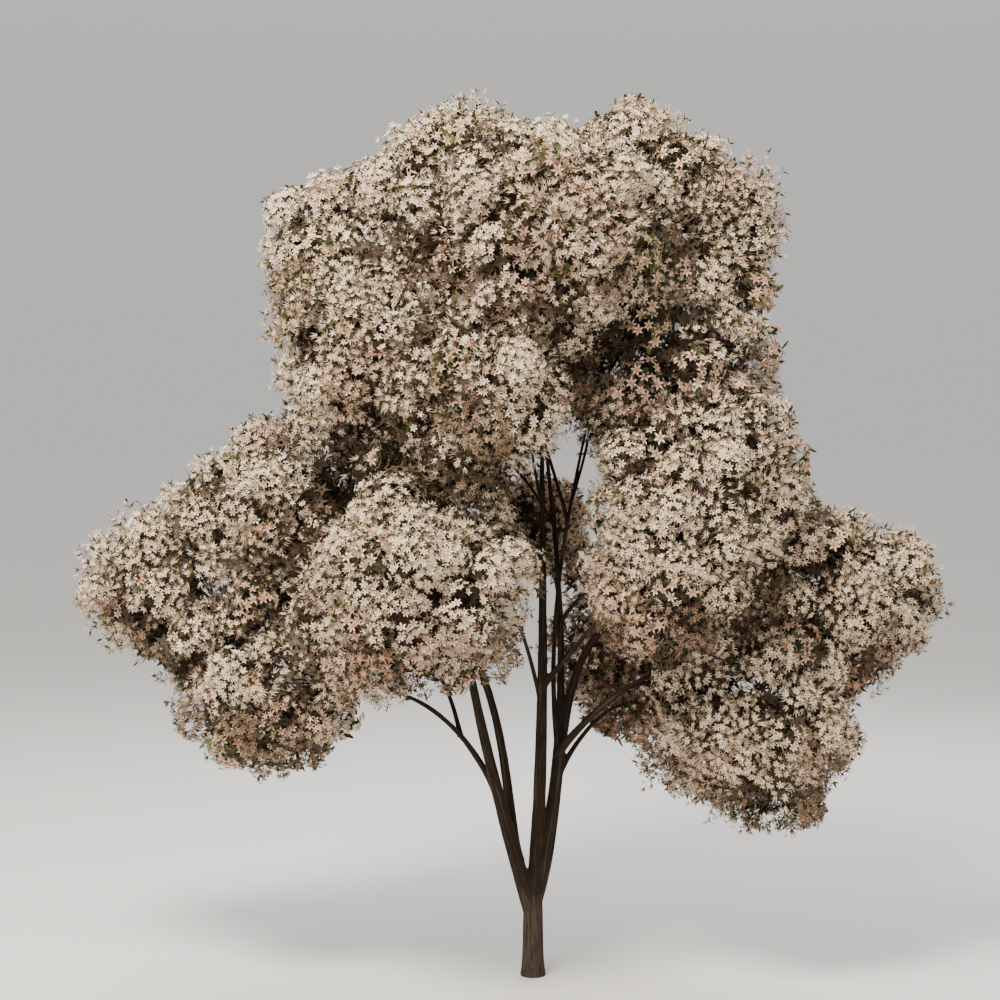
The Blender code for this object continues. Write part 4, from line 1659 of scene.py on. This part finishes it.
    def spray_tints(self, places: np.ndarray, normals: np.ndarray, clump: np.ndarray) -> np.ndarray:
        """The petal finish of each spray: redder in some clumps, and rosier or dark with painted shade
        where it looks down, most of all low in the tree.

        Args:
            places: Where the sprays stand.
            normals: The way out of the crown at each.
            clump: The clump that carries each.

        Returns:
            Their finish numbers.
        """
        rng = self.rng
        clumps = rng.uniform(0.0, 1.0, len(self.clump_centres))
        rosy = np.clip(clumps[clump] - self.rosy_from, 0.0, self.most_rosy)
        # Painted shade: sprays that look down, most of all low in the tree, turn rosier and often take the
        # dark tone.
        low = np.clip((self.lit_height - places[:, 2]) / self.lit_span, self.least_dusk, 1.0)
        under = np.clip(self.shade_from - normals[:, 2], 0.0, 1.0) * low
        rosy = np.clip(rosy + self.rosy_under * under, 0.0, self.rosiest)
        draw = rng.uniform(0.0, 1.0, len(places))
        bound = 0.0
        tints = np.zeros(len(places), dtype=int)
        for share, slope in zip(self.tint_shares, self.tint_slopes):
            bound = bound + share + slope * rosy
            tints += draw > bound
        tints[rng.uniform(0.0, 1.0, len(places)) < self.shade * under] = Tint.UNDERSIDE_SHADE.value
        return tints

    # -- flowers and leaves

    def add_flowers(self, places: np.ndarray, facing: np.ndarray, size: np.ndarray,
                    tints: np.ndarray, kinds: tuple) -> None:
        """Add one flower at each place.

        Args:
            places: Middles of the flowers.
            facing: Where they face.
            size: Length of a petal of each.
            tints: Petal finish of each.
            kinds: Patterns that they are drawn from.
        """
        choice = self.rng.integers(0, len(kinds), len(places))
        side, across = frames_about(facing, self.spin(len(places)))
        for number, kind in enumerate(kinds):
            some = choice == number
            finish = np.choose(kind.tints[None], (tints[some, None], Tint.THROAT.value, Tint.HEART.value))
            points = kind.placed(size[some], places[some], side[some], across[some], facing[some])
            self.blossom.add(points, kind, finish)

    def add_leaves(self, roots: np.ndarray, heading: np.ndarray, face: np.ndarray,
                   length: np.ndarray, greens: np.ndarray, kinds: tuple) -> None:
        """Add one leaf at each place.

        Args:
            roots: Where the leaves spring.
            heading: Where they point.
            face: Roughly where their upper sides face.
            length: Length of each.
            greens: Leaf finish of each.
            kinds: Patterns that they are drawn from.
        """
        across = unit(np.cross(face, heading))
        upper = np.cross(heading, across)
        choice = self.rng.integers(0, len(kinds), len(roots))
        for number, kind in enumerate(kinds):
            some = choice == number
            points = kind.placed(length[some], roots[some], heading[some], across[some], upper[some])
            self.leaves.add(points, kind, np.repeat(greens[some, None], len(kind.triangles), axis=1))

    def dress(self, habit: Habit, shoots: Shoots) -> None:
        """Put the twig, the flowers and the leaves on every shoot.

        Args:
            habit: How flowers and leaves stand on them.
            shoots: The shoots.
        """
        rng = self.rng
        count = len(shoots.feet)
        if not count:
            return
        feet, axis, length = shoots.feet, shoots.axes, shoots.lengths
        self.add_twigs(feet, feet + axis * length[:, None], *self.shoot_girth)
        side, across = frames_about(axis, self.spin(count))
        feet, axis, length = feet[:, None], axis[:, None], length[:, None]
        along_stray, round_stray, face_stray = self.flower_stray
        steps = (np.arange(habit.blossoms) + 0.5) / habit.blossoms
        steps = np.clip(steps + rng.normal(0.0, along_stray, (count, habit.blossoms)), 0.0, 1.0)
        turns = GOLDEN_TURN * np.arange(habit.blossoms) + rng.normal(0.0, round_stray, steps.shape)
        radial = turned(side, across, turns)
        lowest, topmost = habit.spread
        spread = topmost + (lowest - topmost) * np.sqrt(np.clip(1.0 - steps ** 2, 0.0, 1.0))
        spread *= rng.uniform(*self.flower_spread, steps.shape)
        along = (habit.begins + (1.0 - habit.begins) * steps) * length
        places = feet + axis * along[..., None] + radial * spread[..., None]
        facing = unit(axis * (habit.outward * (self.flower_lean + steps))[..., None] + radial
                      + rng.normal(0.0, face_stray, places.shape) + self.flower_rise * UP)
        size = rng.uniform(*habit.size, steps.shape) * (1.0 - (1.0 - habit.shrink) * steps)
        self.add_flowers(places.reshape(-1, 3), facing.reshape(-1, 3), size.reshape(-1),
                         np.repeat(shoots.tints, habit.blossoms), habit.kinds)
        along = np.repeat(rng.uniform(*self.leaf_place, (count, habit.pairs)), 2, axis=1) * length
        turns = np.repeat(self.spin((count, habit.pairs)), 2, axis=1)
        turns[:, 1::2] += math.pi
        heading_stray, face_stray = self.leaf_stray
        roots = feet + axis * along[..., None]
        heading = unit(turned(side, across, turns) + axis * self.leaf_lean
                       + rng.normal(0.0, heading_stray, roots.shape))
        face = unit(axis + rng.normal(0.0, face_stray, roots.shape))
        self.add_leaves(roots.reshape(-1, 3), heading.reshape(-1, 3), face.reshape(-1, 3),
                        rng.uniform(*habit.leaf, turns.size), np.repeat(shoots.greens, 2 * habit.pairs),
                        habit.leaves)

    def burst(self, habit: Habit, feet: np.ndarray, axes: np.ndarray, size: np.ndarray,
              tints: np.ndarray, greens: np.ndarray) -> None:
        """Let shoots burst from the feet of some sprays, and dress them.

        Args:
            habit: How the shoots stand.
            feet: Feet of the sprays, one a row.
            axes: Axes of the sprays.
            size: Size of each spray, as a share of the habit's own.
            tints: Petal finish of each spray.
            greens: Leaf finish of each spray.
        """
        rng = self.rng
        number = habit.shoots
        side, across = frames_about(axes, self.spin(len(axes)))
        steps = (np.arange(number) + rng.uniform(*self.burst_step, (len(axes), number))) / number
        lean = habit.opening[0] + (habit.opening[1] - habit.opening[0]) * steps
        turns = GOLDEN_TURN * np.arange(number) + rng.normal(0.0, self.burst_stray, lean.shape)
        level = np.sqrt(1.0 - np.clip(lean, -1.0, 1.0) ** 2)
        headings = (axes[:, None] * lean[..., None]
                    + side[:, None] * (np.cos(turns) * level)[..., None]
                    + across[:, None] * (np.sin(turns) * level)[..., None])
        lengths = rng.uniform(*habit.length, lean.shape) * size[:, None]
        self.dress(habit, Shoots(np.repeat(feet, number, axis=0), unit(headings.reshape(-1, 3)),
                                 lengths.reshape(-1), np.repeat(tints, number), np.repeat(greens, number)))

    def add_sprays(self, forks: np.ndarray) -> None:
        """Stand sprays all over the open skin, and join each to the nearest fork.

        Args:
            forks: Places of the forks, shaped (clumps, forks, 3).
        """
        rng = self.rng
        places, normals, clump = self.skin()
        count = len(places)
        shares = np.array([kind.value.share for kind in Spray])
        kinds = rng.choice(len(shares), count, p=shares / shares.sum())
        tints = self.spray_tints(places, normals, clump)
        greens = rng.choice(2, count, p=self.green_shares)
        outward = unit(unit(places - self.clump_centres[clump]) + self.outwards * normals)
        tops = places + outward * rng.uniform(*self.stagger, count)[:, None]
        axes = unit(outward + self.rise * UP + rng.normal(0.0, self.lean, outward.shape))
        size = rng.uniform(*self.spray_size, count)
        for number, kind in enumerate(Spray):
            some = kinds == number
            sink = 0.5 * sum(kind.value.length) * size[some, None]
            feet = tops[some] - outward[some] * sink
            near = forks[clump[some]]
            nearest = np.linalg.norm(near - feet[:, None], axis=2).argmin(axis=1)
            springs = near[np.arange(len(feet)), nearest]
            self.add_twigs(springs, feet, self.twig_girth, self.shoot_girth[0])
            self.burst(kind.value, feet, axes[some], size[some], tints[some], greens[some])
            if kind is Spray.BOWL:
                rose = np.full(some.sum(), Tint.ROSE.value)
                self.burst(BOWL_HEART, feet, axes[some], size[some], rose, greens[some])
        self.add_streaks(tops, normals)

    def add_streaks(self, tops: np.ndarray, normals: np.ndarray) -> None:
        """Lay a few long slender sprays along the skin, sloping down, in short straight runs.

        Args:
            tops: Tops of the sprays, one a row.
            normals: The way out of the crown at each.
        """
        rng = self.rng
        some = rng.uniform(0.0, 1.0, len(tops)) < self.streaks
        some &= np.abs(normals[:, 2]) < self.streak_slope
        start = unit(tops[some] - self.centre)
        level = unit(np.cross(UP, start) + NUDGE)
        forth, down, stray = self.streak_way
        slope = forth * level - down * UP + rng.normal(0.0, stray, level.shape)
        slope = unit(slope - start * np.sum(slope * start, axis=1, keepdims=True))
        shares = np.linspace(-0.5, 0.5, self.streak_runs + 1)
        turns = rng.uniform(*self.streak_length, (len(start), 1)) / self.mass.radius * shares
        ways = turned(start, slope, turns)
        reach = self.crown.reach(self.mass, ways.reshape(-1, 3))[0].reshape(turns.shape)
        room = self.crown.room(self.mass, ways.reshape(-1, 3)).reshape(turns.shape)
        mean = reach.mean(axis=1, keepdims=True)
        height = self.streak_follow * reach + (1.0 - self.streak_follow) * mean + self.streak_height
        knots = self.centre + ways * height[..., None]
        knots = knots[(room > self.open_wall * reach).all(axis=1)]
        feet = knots[:, :-1].reshape(-1, 3)
        runs = knots[:, 1:].reshape(-1, 3) - feet
        white, deep = (np.full(len(feet), look.value) for look in (Tint.WHITE, Green.DEEP))
        self.dress(STREAK, Shoots(feet, unit(runs), np.linalg.norm(runs, axis=1), white, deep))

    def add_inside(self) -> None:
        """Close the inside of the mass with dark flowers and a few dark leaves, whose dark colours are
        painted shade.
        """
        rng = self.rng
        count = self.over_mass(self.inner_area)
        way_stray, face_stray, heading_stray = self.inner_stray
        directions = unit(even_directions(count, 0.0) + rng.normal(0.0, way_stray, (count, 3)))
        skin = self.crown.reach(self.mass, directions)[0]
        room = self.crown.room(self.mass, directions)
        seam = room < self.seam_span * skin
        share = np.where(seam, rng.uniform(*self.seam_reach, count), rng.uniform(*self.inner_reach, count))
        reach = np.minimum(skin * share, room * rng.uniform(*self.wall_reach, count))
        places = self.centre + directions * reach[:, None]
        kept = self.crown.clear_of_limbs(places, self.limb_room)
        places, directions = places[kept], directions[kept]
        face = unit(directions + self.inner_rise * UP + rng.normal(0.0, face_stray, places.shape))
        heading = unit(directions + rng.normal(0.0, heading_stray, places.shape))
        leafy = rng.uniform(0.0, 1.0, len(places)) < self.inner_leaves
        green, petal = leafy.sum(), (~leafy).sum()
        self.add_leaves(places[leafy], heading[leafy], face[leafy], rng.uniform(*self.inner_leaf, green),
                        np.full(green, Green.SHADED.value), LEAFLETS)
        self.add_flowers(places[~leafy], face[~leafy], rng.uniform(*self.inner_size, petal),
                         np.full(petal, Tint.SHADED.value), (SHADED_STAR,))

    def build(self, finishes: dict) -> None:
        """Grow the mass and seat its three pieces on the tree.

        Args:
            finishes: Materials of its blossom, leaves and twigs.
        """
        self.add_sprays(self.add_branchlets())
        self.add_inside()
        label = self.mass.name.removeprefix("mass_")
        heaps = (("blossom", self.blossom, "blossom"), ("leaves", self.leaves, "blossom"),
                 ("twigs", self.twigs, "bark"))
        for kind, heap, slot in heaps:
            piece = heap.mesh_object(f"{kind}_{label}", finishes[kind], smooth=slot == "bark")
            settle(piece, slot, self.mass.name)


# ------------------------------------------------------------------ studio

@dataclass(frozen=True)
class Lamp:
    """A square soft lamp: its name, its place, its width, its power in watts and its linear colour."""

    name: str
    place: tuple
    size: float
    power: float
    colour: tuple


@dataclass
class Studio:
    """A plain pale floor, soft light and the camera.

    Attributes:
        eye: Place of the camera.
        tilt: How far it looks down, in degrees.
        lens: Its focal length on a 36 mm frame, in millimetres.
        floor_radius: Radius of the round floor.
        floor_tone: Linear colour of the floor.
        air_low: Linear colour of the light that comes level.
        air_high: Linear colour of the light that comes from above.
        heart: Where the lamps point.
        lamps: The lamps.
    """

    eye: tuple = (-0.2264, -14.0, 3.6024)
    tilt: float = 1.4
    lens: float = 73.9
    floor_radius: float = 900.0
    floor_tone: tuple = (0.68, 0.67, 0.65)
    air_low: tuple = (0.60, 0.59, 0.575)
    air_high: tuple = (1.05, 1.03, 1.00)
    heart: tuple = (0.0, 0.0, 3.4)
    lamps: tuple = (Lamp("key_lamp", (-4.0, -7.5, 13.5), 4.5, 4050.0, (1.0, 0.935, 0.85)),
                    Lamp("fill_lamp", (-8.5, -8.0, 6.0), 7.0, 380.0, (1.0, 0.98, 0.95)),
                    Lamp("back_lamp", (3.0, 9.0, 12.0), 6.0, 1500.0, (1.0, 0.98, 0.96)))

    def add_camera(self) -> None:
        """Stand the camera level with the crown."""
        camera = bpy.data.cameras.new("camera")
        camera.lens = self.lens
        camera.sensor_width = 36.0
        camera.clip_end = 3.0 * self.floor_radius
        holder = linked("camera", camera)
        holder.location = self.eye
        holder.rotation_euler = (math.radians(90.0 - self.tilt), 0.0, 0.0)
        bpy.context.scene.camera = holder

    def add_floor(self) -> None:
        """Lay the floor under the trunk."""
        shape = bmesh.new()
        bmesh.ops.create_circle(shape, cap_ends=True, segments=96, radius=self.floor_radius)
        mesh = bpy.data.meshes.new("floor")
        shape.to_mesh(mesh)
        shape.free()
        finish, _, shader = new_finish("floor", Roughness=0.95, Specular_IOR_Level=0.1)
        shader.inputs["Base Color"].default_value = (*self.floor_tone, 1.0)
        mesh.materials.append(finish)
        floor = linked("floor", mesh)
        floor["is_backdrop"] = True

    def add_lamp(self, lamp: Lamp) -> None:
        """Hang a lamp that faces the heart of the crown.

        Args:
            lamp: The lamp.
        """
        light = bpy.data.lights.new(lamp.name, "AREA")
        light.size = lamp.size
        light.energy = lamp.power
        light.color = lamp.colour
        holder = linked(lamp.name, light)
        holder.location = lamp.place
        beam = Vector(self.heart) - Vector(lamp.place)
        holder.rotation_euler = beam.to_track_quat("-Z", "Y").to_euler()

    def add_air(self) -> None:
        """Fill the air with soft light that is stronger from above."""
        world = bpy.data.worlds.new("air")
        world.use_nodes = True
        wiring = Wiring(world.node_tree)
        place = wiring.node("TexCoord")
        split = wiring.node("SeparateXYZ")
        height = wiring.node("MapRange", interpolation_type="SMOOTHSTEP", From_Min=0.05, From_Max=0.9)
        mix = wiring.blend(self.air_low, self.air_high)
        sky = world.node_tree.nodes["Background"]
        wiring.join((place, "Generated", split, 0), (split, "Z", height, "Value"),
                    (height, "Result", mix, "Factor"), (mix, "Result", sky, "Color"))
        bpy.context.scene.world = world

    def build(self) -> None:
        """Set up the camera, the floor and the light."""
        self.add_camera()
        self.add_floor()
        self.add_air()
        for lamp in self.lamps:
            self.add_lamp(lamp)


def main() -> None:
    """Dress the whole tree."""
    logging.basicConfig(level=logging.INFO, format="%(message)s")
    crown = Crown()
    Wood(crown).build()
    looks = {"blossom": PETAL_FINISHES, "leaves": LEAF_FINISHES, "twigs": (TWIG_FINISH,)}
    finishes = {kind: [look.material() for look in kinds] for kind, kinds in looks.items()}
    for mass in MASSES:
        Foliage(crown, mass).build(finishes)
    Studio().build()
    total = sum(len(piece.data.polygons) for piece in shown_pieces())
    LOG.info("%d triangles in all", total)


if __name__ == "__main__":
    main()
